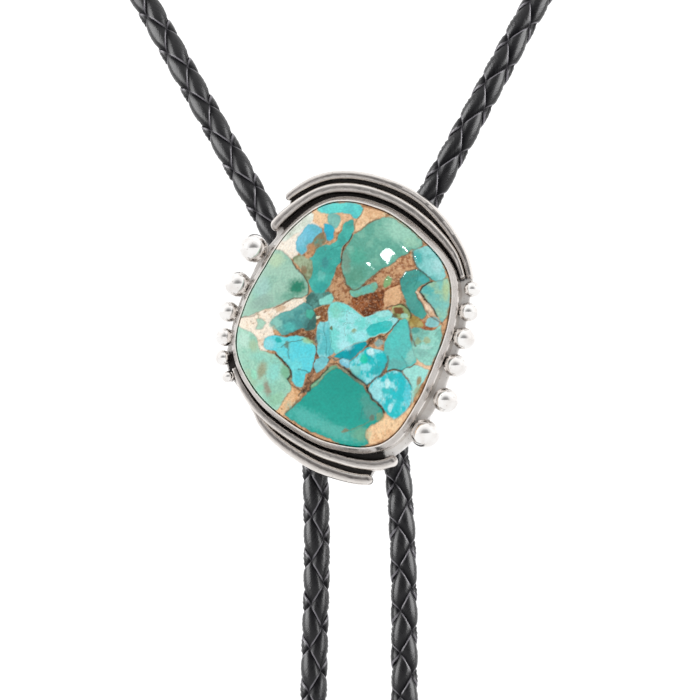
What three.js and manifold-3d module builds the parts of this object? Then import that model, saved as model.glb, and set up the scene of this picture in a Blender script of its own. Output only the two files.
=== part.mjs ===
// A bolo tie: a braided leather cord that runs through a silver slide set with a turquoise cabochon.
// Millimetres, +Z up, +X to the right of a viewer who stands in front of it, -Y to that viewer.
// The origin is the nape, where the underside of the neck loop sits at the top of its arch.
import * as THREE from 'three';
import { mergeVertices } from 'three/addons/utils/BufferGeometryUtils.js';
import Module from 'manifold-3d';

const wasm = await Module();
wasm.setup();

// Driving dimensions.
const GAP = 0.3;
const CORD_DIAMETER = 4.76;
const CORD_SIDES = 10;
const CORD_STEP = 2.6 * CORD_DIAMETER;
const PLATE_THICKNESS = 1.0;
const BEZEL_HEIGHT = 4.8;
const BEZEL_WALL = 0.55;
const BEZEL_LEAN = 0.85;
const SOLDER_SINK = 0.3;
const STONE_RISE = 8.5;

// The middle of the back plate's rear face, measured from the nape. Every piece below, apart from
// where it says otherwise, is drawn round this point.
const SLIDE_PLACE = new THREE.Vector3(4, -47.8, -189.8);

const SILVER = new THREE.MeshStandardMaterial({ color: 0xd8d5cf, roughness: 0.25, metalness: 1 });
const TURQUOISE = new THREE.MeshStandardMaterial({ color: 0x45b5a8, roughness: 0.15, metalness: 0 });
const LEATHER = new THREE.MeshStandardMaterial({ color: 0x151518, roughness: 0.35, metalness: 0 });

// The bezel's foot is a lopsided oval. Its radius is given each 24 degrees, from +X towards +Z.
const BEZEL_STEP = 24;
const BEZEL_RADII = [20.0, 21.9, 21.7, 22.5, 23.0, 20.8, 19.0, 19.6, 21.3, 21.2, 21.2, 22.5, 23.6, 20.6, 19.0];

// How far the back plate reaches out from the bezel's foot, at an angle in degrees.
const PLATE_ROWS = [
  { at: 0, out: 1.3 }, { at: 10, out: 1.4 }, { at: 17, out: 2.1 }, { at: 23, out: 2.5 },
  { at: 35, out: 3.0 }, { at: 48, out: 3.7 }, { at: 60, out: 3.9 }, { at: 75, out: 3.9 },
  { at: 90, out: 4.1 }, { at: 105, out: 4.5 }, { at: 114, out: 4.5 }, { at: 118, out: 3.2 },
  { at: 126, out: 2.3 }, { at: 130, out: 1.3 }, { at: 141, out: 1.8 }, { at: 159, out: 1.3 },
  { at: 185, out: 1.3 }, { at: 193, out: 2.1 }, { at: 201, out: 2.4 }, { at: 209, out: 1.9 },
  { at: 218, out: 2.2 }, { at: 230, out: 3.1 }, { at: 250, out: 3.8 }, { at: 262, out: 4.2 },
  { at: 271, out: 4.3 }, { at: 277, out: 2.9 }, { at: 284, out: 2.2 }, { at: 291, out: 1.3 },
  { at: 306, out: 1.4 }, { at: 322, out: 1.6 }, { at: 339, out: 1.3 }, { at: 360, out: 1.3 },
];

// Four wires hug the bezel. A row gives the middle line's distance out from the bezel's foot, the
// wire's width there, and how high it stands on the plate.
const WIRES = [
  {
    rows: [
      { at: 22, out: 0.85, wide: 1.0, high: 1.5 }, { at: 35, out: 1.5, wide: 1.5, high: 1.9 },
      { at: 48, out: 1.85, wide: 1.65, high: 2.0 }, { at: 75, out: 1.8, wide: 1.6, high: 2.0 },
      { at: 90, out: 1.9, wide: 1.65, high: 2.0 }, { at: 105, out: 2.35, wide: 1.6, high: 2.0 },
      { at: 126, out: 2.6, wide: 1.8, high: 1.9 },
    ],
  },
  {
    rows: [
      { at: 21, out: 2.35, wide: 1.0, high: 1.5 }, { at: 35, out: 2.95, wide: 1.3, high: 1.9 },
      { at: 48, out: 3.7, wide: 1.5, high: 2.1 }, { at: 60, out: 3.95, wide: 1.6, high: 2.2 },
      { at: 75, out: 3.9, wide: 1.6, high: 2.2 }, { at: 90, out: 4.1, wide: 1.5, high: 2.1 },
      { at: 105, out: 4.6, wide: 1.4, high: 1.9 }, { at: 115, out: 4.8, wide: 1.1, high: 1.5 },
    ],
  },
  {
    rows: [
      { at: 200, out: 1.05, wide: 0.8, high: 1.2 }, { at: 211, out: 1.25, wide: 1.15, high: 1.6 },
      { at: 230, out: 1.45, wide: 1.25, high: 1.8 }, { at: 250, out: 1.45, wide: 1.35, high: 1.9 },
      { at: 262, out: 1.5, wide: 1.45, high: 2.0 }, { at: 275, out: 1.95, wide: 1.65, high: 2.0 },
      { at: 286, out: 2.35, wide: 1.9, high: 1.9 },
    ],
  },
  {
    rows: [
      { at: 218, out: 2.1, wide: 0.8, high: 1.3 }, { at: 224, out: 2.65, wide: 1.1, high: 1.6 },
      { at: 236, out: 3.4, wide: 1.35, high: 1.9 }, { at: 250, out: 3.8, wide: 1.6, high: 2.0 },
      { at: 262, out: 4.25, wide: 1.7, high: 2.0 }, { at: 274, out: 4.75, wide: 1.6, high: 1.9 },
    ],
  },
];
const WIRE_STEP = 4.5;
const WIRE_SIDES = 8;
const WIRE_FLATNESS = 0.75;
const WIRE_CAP = [35, 65];

// Two runs of graduated balls, six on each side, each soldered to the plate beside the bezel.
const BALLS = [
  { at: 140.7, out: 3.2, radius: 2.6 }, { at: 159.1, out: 2.45, radius: 2.35 },
  { at: 172.8, out: 2.25, radius: 1.9 }, { at: 184.5, out: 1.95, radius: 1.7 },
  { at: 193.5, out: 2.4, radius: 1.4 }, { at: 202, out: 2.6, radius: 1.1 },
  { at: 15.1, out: 2.1, radius: 1.45 }, { at: 5.2, out: 1.65, radius: 1.75 },
  { at: 352.6, out: 1.8, radius: 2.0 }, { at: 338.9, out: 2.05, radius: 2.1 },
  { at: 322.4, out: 2.85, radius: 2.25 }, { at: 305.8, out: 2.85, radius: 2.6 },
];
const BALL_SEAT = 0.7;

// The cabochon from its flat base to the top of the dome: how far each level draws in from the
// bezel's foot, the share of that which is left as the dome closes, and its height above the plate.
const STONE_LEVELS = [
  { inset: BEZEL_WALL + GAP, share: 1, height: GAP },
  { inset: BEZEL_WALL + GAP, share: 1, height: 2.9 },
  { inset: 1.4, share: 1, height: 4.7 },
  { inset: 1.4, share: 0.965, height: 5.5 },
  { inset: 1.4, share: 0.88, height: 6.5 },
  { inset: 1.4, share: 0.74, height: 7.4 },
  { inset: 1.4, share: 0.54, height: 8.1 },
  { inset: 1.4, share: 0.3, height: 8.4 },
];

// The clip behind the slide: a flat foot with two hoods, each over the channel of one cord.
const CLIP_MIDDLE = -0.1;
const CHANNEL_SPREAD = 7.2;
const CHANNEL_RADIUS = CORD_DIAMETER / 2 + 0.37;
const CLIP_FOOT = 1.2;
const CLIP_HOOD = 0.9;
const CLIP_HALF_WIDTH = 14.5;
const CLIP_LOW = -20;
const CLIP_HIGH = -4;
const CHANNEL_DEPTH = GAP + CLIP_FOOT + CHANNEL_RADIUS;
const CORDS_MEET = -11.5;

// The plain tips on the cord's two ends. The cord stands in the socket at the top.
const TIP_LENGTH = 31;
const TIP_SOCKET = 4;
const TIP_TOP = -97;
const TIP_PROFILE = [
  { radius: 3.35, down: 0 }, { radius: 3.35, down: 1.2 }, { radius: 3.05, down: 1.8 },
  { radius: 2.2, down: 25.5 }, { radius: 2.5, down: 26.6 }, { radius: 2.5, down: 28.4 },
  { radius: 1.5, down: 30.4 },
];
const TIP_SIDES = 14;

// The cord's route is chosen by hand. The neck loop leaves the left channel, opens into the V that
// shows in front, climbs round the neck and comes back down into the right channel.
const NECK_ROUTE = [
  [-7.3, 4.25, CORDS_MEET + GAP / 2], [-7.3, 4.25, -5], [-7.45, 4.3, -0.6], [-8.7, 4.35, 4.9],
  [-11.2, 4.5, 10.5], [-14.4, 4.8, 16.3], [-22.2, 6.6, 29.5], [-32.3, 10.6, 46.1],
  [-42.9, 16, 63.2], [-51.4, 20.6, 77.2], [-58.9, 25.4, 92], [-64.5, 30.4, 107.8],
  [-67.2, 35.2, 124.5], [-66.8, 39.4, 140.8], [-62.7, 42.8, 156], [-54.6, 45.4, 169.6],
  [-42.4, 46.9, 180.6], [-24.6, 47.6, 189], [-4, 47.8, 192.2], [16.6, 47.6, 189],
  [33.8, 46.9, 180.6], [46, 45.4, 169.6], [54.1, 42.8, 156], [58.2, 39.4, 140.8],
  [58.2, 35.2, 124.5], [54.7, 30.4, 107.8], [48, 25.4, 91.4], [40.1, 20.6, 76],
  [31.7, 16, 60.7], [24.9, 10.6, 46.3], [18, 6.6, 32.2], [12.85, 4.8, 22.3],
  [9.75, 4.4, 16.4], [7.95, 4.3, 10.6], [7.2, 4.3, 4.4], [7.1, 4.25, -3],
  [7.1, 4.25, CORDS_MEET + GAP / 2],
];
const TAIL_START = CORDS_MEET - GAP / 2;
const TAIL_END = TIP_TOP - TIP_SOCKET + GAP;
const LEFT_TAIL_ROUTE = [
  [-7.3, 4.25, TAIL_START], [-7.33, 4.25, -16], [-7.36, 4.25, -20], [-7.38, 4.3, -24.5],
  [-7.35, 4.3, -28.5], [-7.22, 4.3, -33], [-7.14, 4.3, -37.2], [-7.16, 4.3, -43],
  [-7.23, 4.3, -48], [-7.37, 4.3, -52.5], [-7.48, 4.3, -56.6], [-7.6, 4.3, -61],
  [-7.68, 4.3, -65.2], [-7.78, 4.3, -73], [-7.85, 4.3, -81], [-7.9, 4.3, -89],
  [-7.93, 4.3, TAIL_END],
];
const RIGHT_TAIL_ROUTE = [
  [7.1, 4.25, TAIL_START], [7.12, 4.25, -16], [7.25, 4.25, -20.5], [7.6, 4.3, -24.5],
  [8.02, 4.3, -28.5], [8.35, 4.3, -33], [8.6, 4.3, -37.2], [8.82, 4.3, -43.7],
  [8.95, 4.3, -50], [8.97, 4.3, -56.6], [8.97, 4.3, -61], [8.98, 4.3, -65.2],
  [9.02, 4.3, -73], [9.06, 4.3, -81], [9.1, 4.3, -89], [9.12, 4.3, TAIL_END],
];

const radians = (degrees) => (degrees * Math.PI) / 180;

// The radius of the bezel's foot at any angle, smooth round the whole oval.
function bezelRadius(angle) {
  const count = BEZEL_RADII.length;
  const place = (((angle % 360) + 360) % 360) / BEZEL_STEP;
  const row = Math.floor(place);
  const t = place - row;
  const [a, b, c, d] = [-1, 0, 1, 2].map((k) => BEZEL_RADII[(row + k + count) % count]);
  return b + 0.5 * t * (c - a + t * (2 * a - 5 * b + 4 * c - d + t * (3 * (b - c) + d - a)));
}

// One column of a table at any angle between its first and last rows, with no overshoot.
function column(rows, name, angle) {
  const at = Math.min(Math.max(angle, rows[0].at), rows[rows.length - 1].at);
  const last = Math.max(1, rows.findIndex((row) => row.at >= at));
  const slope = (k) => (rows[k][name] - rows[k - 1][name]) / (rows[k].at - rows[k - 1].at);
  const lean = (k) => {
    if (k === 0 || k === rows.length - 1) return 0;
    const [before, after] = [slope(k), slope(k + 1)];
    return before * after > 0 ? (2 * before * after) / (before + after) : 0;
  };
  const [low, high] = [rows[last - 1], rows[last]];
  const span = high.at - low.at;
  const t = (at - low.at) / span;
  const [t2, t3] = [t * t, t * t * t];
  return (
    (2 * t3 - 3 * t2 + 1) * low[name] + (t3 - 2 * t2 + t) * span * lean(last - 1) +
    (3 * t2 - 2 * t3) * high[name] + (t3 - t2) * span * lean(last)
  );
}

// A point of the slide: an angle round the stone, a distance out from the bezel's foot, and a
// height above the front of the plate.
function slidePoint(angle, out, height) {
  const radius = bezelRadius(angle) + out;
  const turn = radians(angle);
  return new THREE.Vector3(radius * Math.cos(turn), -PLATE_THICKNESS - height, radius * Math.sin(turn));
}

function volume(position, index) {
  const [a, b, c] = [new THREE.Vector3(), new THREE.Vector3(), new THREE.Vector3()];
  let total = 0;
  for (let i = 0; i < index.length; i += 3) {
    a.fromArray(position, 3 * index[i]);
    b.fromArray(position, 3 * index[i + 1]);
    c.fromArray(position, 3 * index[i + 2]);
    total += a.dot(b.cross(c));
  }
  return total;
}

// A closed skin over rings that have the same number of points. A loop joins its last ring to its
// first, and other lofts are closed with a fan to a point at each end.
function loft(rings, { loop = false, start = null, end = null } = {}) {
  const sides = rings[0].length;
  const points = rings.flat();
  const index = [];
  const spans = loop ? rings.length : rings.length - 1;
  for (let i = 0; i < spans; i += 1) {
    const [here, next] = [i * sides, ((i + 1) % rings.length) * sides];
    for (let k = 0; k < sides; k += 1) {
      const after = (k + 1) % sides;
      index.push(here + k, next + k, next + after, here + k, next + after, here + after);
    }
  }
  if (!loop) {
    const middle = (ring) =>
      ring.reduce((sum, p) => sum.add(p), new THREE.Vector3()).divideScalar(sides);
    const far = (rings.length - 1) * sides;
    points.push(start ?? middle(rings[0]), end ?? middle(rings[rings.length - 1]));
    for (let k = 0; k < sides; k += 1) {
      const after = (k + 1) % sides;
      index.push(points.length - 2, k, after, points.length - 1, far + after, far + k);
    }
  }
  const position = points.flatMap((p) => p.toArray());
  if (volume(position, index) < 0) index.reverse();
  const geometry = new THREE.BufferGeometry();
  geometry.setAttribute('position', new THREE.Float32BufferAttribute(position, 3));
  geometry.setIndex(index);
  return geometry;
}

function solid(geometry) {
  const bare = geometry.clone();
  bare.deleteAttribute('normal');
  bare.deleteAttribute('uv');
  const merged = mergeVertices(bare, 1e-4);
  return new wasm.Manifold(new wasm.Mesh({
    numProp: 3,
    vertProperties: new Float32Array(merged.attributes.position.array),
    triVerts: new Uint32Array(merged.index.array),
  }));
}

function geometryOf(manifold) {
  const mesh = manifold.getMesh();
  const geometry = new THREE.BufferGeometry();
  geometry.setAttribute('position', new THREE.BufferAttribute(mesh.vertProperties, 3));
  geometry.setIndex(new THREE.BufferAttribute(mesh.triVerts, 1));
  geometry.computeVertexNormals();
  return geometry;
}

function joined(geometries) {
  return geometryOf(geometries.map(solid).reduce((whole, piece) => whole.add(piece)));
}

// The back plate, cut to follow the wires and the balls.
function backPlate() {
  const outlineStep = 4;
  const outline = [];
  for (let angle = 0; angle < 360; angle += outlineStep) {
    const point = slidePoint(angle, column(PLATE_ROWS, 'out', angle), 0);
    outline.push(new THREE.Vector2(point.x, point.z));
  }
  const plate = new THREE.ExtrudeGeometry(new THREE.Shape(outline), {
    depth: PLATE_THICKNESS, bevelEnabled: false,
  });
  return plate.rotateX(Math.PI / 2);
}

// The bezel: a thin wall whose upper part is burnished in over the stone.
function bezel() {
  const shoulder = BEZEL_HEIGHT - 1.5;
  const section = [
    { inset: 0, height: -SOLDER_SINK },
    { inset: 0, height: shoulder },
    { inset: BEZEL_LEAN, height: BEZEL_HEIGHT - 0.1 },
    { inset: BEZEL_LEAN + 0.12, height: BEZEL_HEIGHT },
    { inset: BEZEL_LEAN + 0.25, height: BEZEL_HEIGHT - 0.1 },
    { inset: BEZEL_WALL, height: shoulder - 0.2 },
    { inset: BEZEL_WALL, height: -SOLDER_SINK },
  ];
  const turnStep = 6;
  const rings = [];
  for (let angle = 0; angle < 360; angle += turnStep) {
    rings.push(section.map(({ inset, height }) => slidePoint(angle, -inset, height)));
  }
  return loft(rings, { loop: true });
}

// One ring of a wire, square to its middle line: an oval whose sides are a little flattened.
function wireRing(middle, along, wide, high) {
  const across = new THREE.Vector3(-along.z, 0, along.x);
  const ring = [];
  for (let k = 0; k < WIRE_SIDES; k += 1) {
    const turn = (2 * Math.PI * (k + 0.5)) / WIRE_SIDES;
    const flattened = (value) => Math.sign(value) * Math.abs(value) ** WIRE_FLATNESS;
    const point = middle.clone().addScaledVector(across, (wide / 2) * flattened(Math.cos(turn)));
    point.y -= (high / 2) * flattened(Math.sin(turn));
    ring.push(point);
  }
  return ring;
}

// A wire from its table, with round ends.
function wire({ rows }) {
  const [first, last] = [rows[0].at, rows[rows.length - 1].at];
  const steps = Math.round((last - first) / WIRE_STEP);
  const place = (angle) => {
    const high = column(rows, 'high', angle) + SOLDER_SINK;
    return slidePoint(angle, column(rows, 'out', angle), high / 2 - SOLDER_SINK);
  };
  const direction = (angle) => place(angle + 0.5).sub(place(angle - 0.5)).setY(0).normalize();
  const size = (name, angle) => column(rows, name, angle);
  const rings = [];
  const cap = (angle, sign) => {
    const along = direction(angle + (sign < 0 ? 0.5 : -0.5));
    const half = size('wide', angle) / 2;
    const high = size('high', angle) + SOLDER_SINK;
    const swell = WIRE_CAP.map((turn) => wireRing(
      place(angle).addScaledVector(along, sign * half * Math.sin(radians(turn))),
      along, 2 * half * Math.cos(radians(turn)), high * Math.cos(radians(turn)),
    ));
    return { swell, point: place(angle).addScaledVector(along, sign * half) };
  };
  const [start, end] = [cap(first, -1), cap(last, 1)];
  rings.push(...start.swell.reverse());
  for (let i = 0; i <= steps; i += 1) {
    const angle = first + ((last - first) * i) / steps;
    const along = direction(Math.min(Math.max(angle, first + 0.5), last - 0.5));
    rings.push(wireRing(place(angle), along, size('wide', angle), size('high', angle) + SOLDER_SINK));
  }
  rings.push(...end.swell);
  return loft(rings, { start: start.point, end: end.point });
}

function ball({ at, out, radius }) {
  const middle = slidePoint(at, out, BALL_SEAT * radius);
  return new THREE.SphereGeometry(radius, 14, 10).translate(middle.x, middle.y, middle.z);
}

function silverSetting() {
  return joined([backPlate(), bezel(), ...WIRES.map(wire), ...BALLS.map(ball)]);
}

function turquoiseStone() {
  const turnStep = 6;
  const rings = STONE_LEVELS.map(({ inset, share, height }) => {
    const ring = [];
    for (let angle = 0; angle < 360; angle += turnStep) {
      const drawnIn = inset * share + bezelRadius(angle) * (1 - share);
      ring.push(slidePoint(angle, -drawnIn, height));
    }
    return ring;
  });
  const top = new THREE.Vector3(0, -PLATE_THICKNESS - STONE_RISE, 0);
  const base = new THREE.Vector3(0, -PLATE_THICKNESS - GAP, 0);
  return loft(rings, { start: base, end: top });
}

// The clip's cross-section lies flat, and is drawn up through its height.
function cordClip() {
  const hood = CHANNEL_RADIUS + CLIP_HOOD;
  const foot = GAP + CLIP_FOOT;
  const reach = Math.sqrt(hood ** 2 - CHANNEL_RADIUS ** 2);
  const side = Math.atan2(-CHANNEL_RADIUS, reach);
  const shape = new THREE.Shape();
  shape.moveTo(CLIP_MIDDLE - CLIP_HALF_WIDTH, GAP);
  shape.lineTo(CLIP_MIDDLE + CLIP_HALF_WIDTH, GAP);
  shape.lineTo(CLIP_MIDDLE + CLIP_HALF_WIDTH, foot);
  for (const hand of [1, -1]) {
    const middle = CLIP_MIDDLE + hand * CHANNEL_SPREAD;
    shape.lineTo(middle + reach, foot);
    shape.absarc(middle, CHANNEL_DEPTH, hood, side, Math.PI - side, false);
    const channel = new THREE.Path();
    channel.absarc(middle, CHANNEL_DEPTH, CHANNEL_RADIUS, 0, 2 * Math.PI, true);
    shape.holes.push(channel);
  }
  shape.lineTo(CLIP_MIDDLE - CLIP_HALF_WIDTH, foot);
  shape.closePath();
  const clip = new THREE.ExtrudeGeometry(shape, {
    depth: CLIP_HIGH - CLIP_LOW, bevelEnabled: false, curveSegments: 14,
  });
  return clip.translate(0, 0, CLIP_LOW);
}

// A plain round tube along the cord's middle line.
function cord(route) {
  const line = new THREE.CatmullRomCurve3(route.map((p) => new THREE.Vector3(...p)), false, 'catmullrom');
  const section = new THREE.Shape();
  for (let k = 0; k < CORD_SIDES; k += 1) {
    const turn = (2 * Math.PI * k) / CORD_SIDES;
    const [x, y] = [(CORD_DIAMETER / 2) * Math.cos(turn), (CORD_DIAMETER / 2) * Math.sin(turn)];
    if (k === 0) section.moveTo(x, y);
    else section.lineTo(x, y);
  }
  section.closePath();
  return new THREE.ExtrudeGeometry(section, {
    steps: Math.round(line.getLength() / CORD_STEP), extrudePath: line,
  });
}

// A tapered tip with a socket at the top for the cord, drawn round Z and hung at the cord's end.
function tip(x, y) {
  const socket = CORD_DIAMETER / 2 + 0.4;
  const profile = [
    new THREE.Vector2(0, -TIP_LENGTH),
    ...TIP_PROFILE.map(({ radius, down }) => new THREE.Vector2(radius, -down)).reverse(),
    new THREE.Vector2(socket, 0),
    new THREE.Vector2(socket, -TIP_SOCKET),
    new THREE.Vector2(0, -TIP_SOCKET),
  ];
  const geometry = new THREE.LatheGeometry(profile, TIP_SIDES).rotateX(Math.PI / 2);
  return geometry.translate(x, y, TIP_TOP);
}

const slide = new THREE.Group();
slide.position.copy(SLIDE_PLACE);

function place(name, geometry, material) {
  const mesh = new THREE.Mesh(geometry, material);
  mesh.name = name;
  slide.add(mesh);
}

const endOf = (route) => route[route.length - 1];
place('silver_setting', silverSetting(), SILVER);
place('turquoise_stone', turquoiseStone(), TURQUOISE);
place('cord_clip', cordClip(), SILVER);
place('neck_cord', cord(NECK_ROUTE), LEATHER);
place('left_tail', cord(LEFT_TAIL_ROUTE), LEATHER);
place('right_tail', cord(RIGHT_TAIL_ROUTE), LEATHER);
place('left_tip', tip(...endOf(LEFT_TAIL_ROUTE).slice(0, 2)), SILVER);
place('right_tip', tip(...endOf(RIGHT_TAIL_ROUTE).slice(0, 2)), SILVER);

const boloTie = new THREE.Group();
boloTie.add(slide);

export default boloTie;
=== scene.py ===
# %% [markdown]
# # A bolo tie
# A braided leather cord hangs round a neck and runs through a silver slide, which holds a domed
# turquoise cabochon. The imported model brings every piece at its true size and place. This lesson
# dresses it: first the camera, then the cord, the silver, the stone, the clip and the tips, and
# last the light. All lengths here are in millimetres on the slide, and become metres in one place.

import math

import bpy
import numpy as np
from mathutils import Matrix, Vector


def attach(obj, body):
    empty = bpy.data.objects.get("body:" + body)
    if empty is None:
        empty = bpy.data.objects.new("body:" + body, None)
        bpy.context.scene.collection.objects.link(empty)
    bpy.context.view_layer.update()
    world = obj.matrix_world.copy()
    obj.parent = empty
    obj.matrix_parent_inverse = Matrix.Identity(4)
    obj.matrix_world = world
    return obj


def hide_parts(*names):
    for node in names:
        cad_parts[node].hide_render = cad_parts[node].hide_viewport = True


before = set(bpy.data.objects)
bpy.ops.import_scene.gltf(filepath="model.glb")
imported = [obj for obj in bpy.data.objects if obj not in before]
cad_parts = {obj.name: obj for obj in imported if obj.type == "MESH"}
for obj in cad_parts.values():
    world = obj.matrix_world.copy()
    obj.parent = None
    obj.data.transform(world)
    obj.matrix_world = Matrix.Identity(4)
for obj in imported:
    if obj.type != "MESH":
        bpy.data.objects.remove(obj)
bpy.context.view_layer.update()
print("packed nodes:", sorted(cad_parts))

# %% [markdown]
# The slide has its own frame: X to the right, Z up and Y into the chest, with Y = 0 at the rear
# face of the back plate. It hangs below the nape, which is the origin of the whole model. One
# shift therefore carries any point of the slide to its place, and no piece needs fitting later.

# %% The slide's place
MM = 0.001
SLIDE_PLACE = np.array([4.0, -47.8, -189.8])


def placed(points):
    """Points of the slide's frame in millimetres, as the model's metres."""
    return (np.asarray(points, float) + SLIDE_PLACE) * MM


print("slide's origin in metres:", placed([0, 0, 0]))

# %% [markdown]
# The photo was taken from a little to the right of the slide and a little below it, with a long
# lens: the bezel shows broad on the right and narrow on the left. A camera 700 mm away with a
# 200 mm lens sees 126 mm across, which is the width of the photo at the slide's real size.

# %% The camera
VIEW_AZIMUTH = math.radians(12)
VIEW_ELEVATION = math.radians(-4)
VIEW_DISTANCE = 700.0
VIEW_TARGET = np.array([-0.09, 0.0, -4.33])
LENS = 200.0
SENSOR = 36.0
PHOTO_SIDE = 700
BACK = np.array([
    math.cos(VIEW_ELEVATION) * math.sin(VIEW_AZIMUTH),
    -math.cos(VIEW_ELEVATION) * math.cos(VIEW_AZIMUTH),
    math.sin(VIEW_ELEVATION),
])
camera_data = bpy.data.cameras.new("camera")
camera_data.lens = LENS
camera_data.sensor_width = SENSOR
camera_data.clip_start = 0.05
camera_data.clip_end = 100
camera = bpy.data.objects.new("camera", camera_data)
bpy.context.scene.collection.objects.link(camera)
camera.location = placed(VIEW_TARGET + VIEW_DISTANCE * BACK)
camera.rotation_mode = "QUATERNION"
camera.rotation_quaternion = Vector(-BACK).to_track_quat("-Z", "Y")
bpy.context.scene.camera = camera
print("camera at", [round(v, 4) for v in camera.location])

# %% [markdown]
# Shader trees are easier to read as a few lines of code than as a screen of boxes. One helper
# lays a node down and fills its sockets: a number or colour is set on the socket, and another
# node's output is linked to it. Short ones spread a value, mix two colours and do sums, and the
# last ones read colours the way a painter's chart gives them.

# %% Laying shader nodes
def lay(tree, kind, inputs=None, **settings):
    """A new shader node. Its inputs are values or the outputs of other nodes."""
    made = tree.nodes.new("ShaderNode" + kind)
    for key, value in settings.items():
        setattr(made, key, value)
    for socket, value in (inputs or {}).items():
        if isinstance(value, bpy.types.NodeSocket):
            tree.links.new(value, made.inputs[socket])
        else:
            made.inputs[socket].default_value = value
    return made


def spread(tree, value, start, end, low, high):
    """The span of a value from start to end, spread over low to high."""
    span = {"Value": value, "From Min": start, "From Max": end, "To Min": low, "To Max": high}
    return lay(tree, "MapRange", span).outputs[0]


def mixed(tree, share, under, over):
    """One colour laid over another by a share."""
    return lay(tree, "Mix", {0: share, 6: under, 7: over}, data_type="RGBA").outputs[2]


def worked(tree, operation, first, second):
    """Two values multiplied or added."""
    return lay(tree, "Math", {0: first, 1: second}, operation=operation).outputs[0]


def ramp(tree, factor, stops):
    """A colour ramp with its stops as (place, grey or colour)."""
    made = lay(tree, "ValToRGB", {"Fac": factor})
    elements = made.color_ramp.elements
    while len(elements) < len(stops):
        elements.new(0.5)
    for element, (place, value) in zip(elements, stops):
        element.position = place
        shade = (value,) * 3 if isinstance(value, (int, float)) else value
        element.color = (*shade, 1)
    return made.outputs["Color"]


def chart(code):
    """A chart colour such as '5FB0A0' as linear red, green and blue."""
    parts = [int(code[i:i + 2], 16) / 255 for i in (0, 2, 4)]
    return tuple(p / 12.92 if p <= 0.04045 else ((p + 0.055) / 1.055) ** 2.4 for p in parts)


def new_finish(name):
    """A material with its tree and its main shader."""
    finish = bpy.data.materials.new(name)
    finish.use_nodes = True
    return finish, finish.node_tree, finish.node_tree.nodes["Principled BSDF"]


print("a mid green on the chart is", [round(v, 3) for v in chart("5FB0A0")])

# %% [markdown]
# Most pieces of a tie are skins drawn through rings: a cord, a wire, a bezel, a turned tip. A
# ring skin could be made with curves and bevels, but then its thickness can't vary freely. Rings
# of points, sewn together by hand, give every bulge its place and keep the mesh closed.

# %% Sewing rings into a skin
def as_object(name, points, faces, crease=40):
    """A smooth mesh object from millimetre points and faces."""
    mesh = bpy.data.meshes.new(name)
    mesh.from_pydata(placed(points).tolist(), [], faces)
    mesh.polygons.foreach_set("use_smooth", [True] * len(mesh.polygons))
    mesh.set_sharp_from_angle(angle=math.radians(crease))
    mesh.update()
    made = bpy.data.objects.new(name, mesh)
    bpy.context.scene.collection.objects.link(made)
    return made


def sew(count, around, start=0, ends="caps"):
    """Faces for count rings of around points. ends is caps, open or loop."""
    ring = np.arange(around)
    after = (ring + 1) % around
    faces = []
    last = count if ends == "loop" else count - 1
    for i in range(last):
        a = start + i * around
        b = start + ((i + 1) % count) * around
        faces += np.stack([a + ring, a + after, b + after, b + ring], 1).tolist()
    if ends == "caps":
        faces.append((start + ring[::-1]).tolist())
        faces.append((start + (count - 1) * around + ring).tolist())
    return faces


def give(piece, name, values, kind="FLOAT"):
    """A named value at every point of a piece, which its material can read."""
    attribute = piece.data.attributes.new(name, kind, "POINT")
    field = "value" if kind == "FLOAT" else ("color" if "COLOR" in kind else "vector")
    attribute.data.foreach_set(field, np.asarray(values, np.float32).ravel())


print("a ring skin of 3 rings of 4 has", len(sew(3, 4)), "faces")

# %% [markdown]
# The cord is a four-strand round braid, 3/16 inch across. Its route is the one that the packed
# model's plain tube follows: a smooth curve through a few listed points. Walking that curve
# in equal steps, and carrying a sideways arrow along it without letting it twist, gives a clean
# frame to wind the laces on.

# %% The cord's routes
NECK_ROUTE = [
    (-7.3, 4.25, -11.35), (-7.3, 4.25, -5), (-7.45, 4.3, -0.6), (-8.7, 4.35, 4.9),
    (-11.2, 4.5, 10.5), (-14.4, 4.8, 16.3), (-22.2, 6.6, 29.5), (-32.3, 10.6, 46.1),
    (-42.9, 16, 63.2), (-51.4, 20.6, 77.2), (-58.9, 25.4, 92), (-64.5, 30.4, 107.8),
    (-67.2, 35.2, 124.5), (-66.8, 39.4, 140.8), (-62.7, 42.8, 156), (-54.6, 45.4, 169.6),
    (-42.4, 46.9, 180.6), (-24.6, 47.6, 189), (-4, 47.8, 192.2), (16.6, 47.6, 189),
    (33.8, 46.9, 180.6), (46, 45.4, 169.6), (54.1, 42.8, 156), (58.2, 39.4, 140.8),
    (58.2, 35.2, 124.5), (54.7, 30.4, 107.8), (48, 25.4, 91.4), (40.1, 20.6, 76),
    (31.7, 16, 60.7), (24.9, 10.6, 46.3), (18, 6.6, 32.2), (12.85, 4.8, 22.3),
    (9.75, 4.4, 16.4), (7.95, 4.3, 10.6), (7.2, 4.3, 4.4), (7.1, 4.25, -3),
    (7.1, 4.25, -11.35),
]
LEFT_TAIL_ROUTE = [
    (-7.3, 4.25, -11.65), (-7.33, 4.25, -16), (-7.36, 4.25, -20), (-7.38, 4.3, -24.5),
    (-7.35, 4.3, -28.5), (-7.22, 4.3, -33), (-7.14, 4.3, -37.2), (-7.16, 4.3, -43),
    (-7.23, 4.3, -48), (-7.37, 4.3, -52.5), (-7.48, 4.3, -56.6), (-7.6, 4.3, -61),
    (-7.68, 4.3, -65.2), (-7.78, 4.3, -73), (-7.85, 4.3, -81), (-7.9, 4.3, -89),
    (-7.93, 4.3, -100.7),
]
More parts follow.
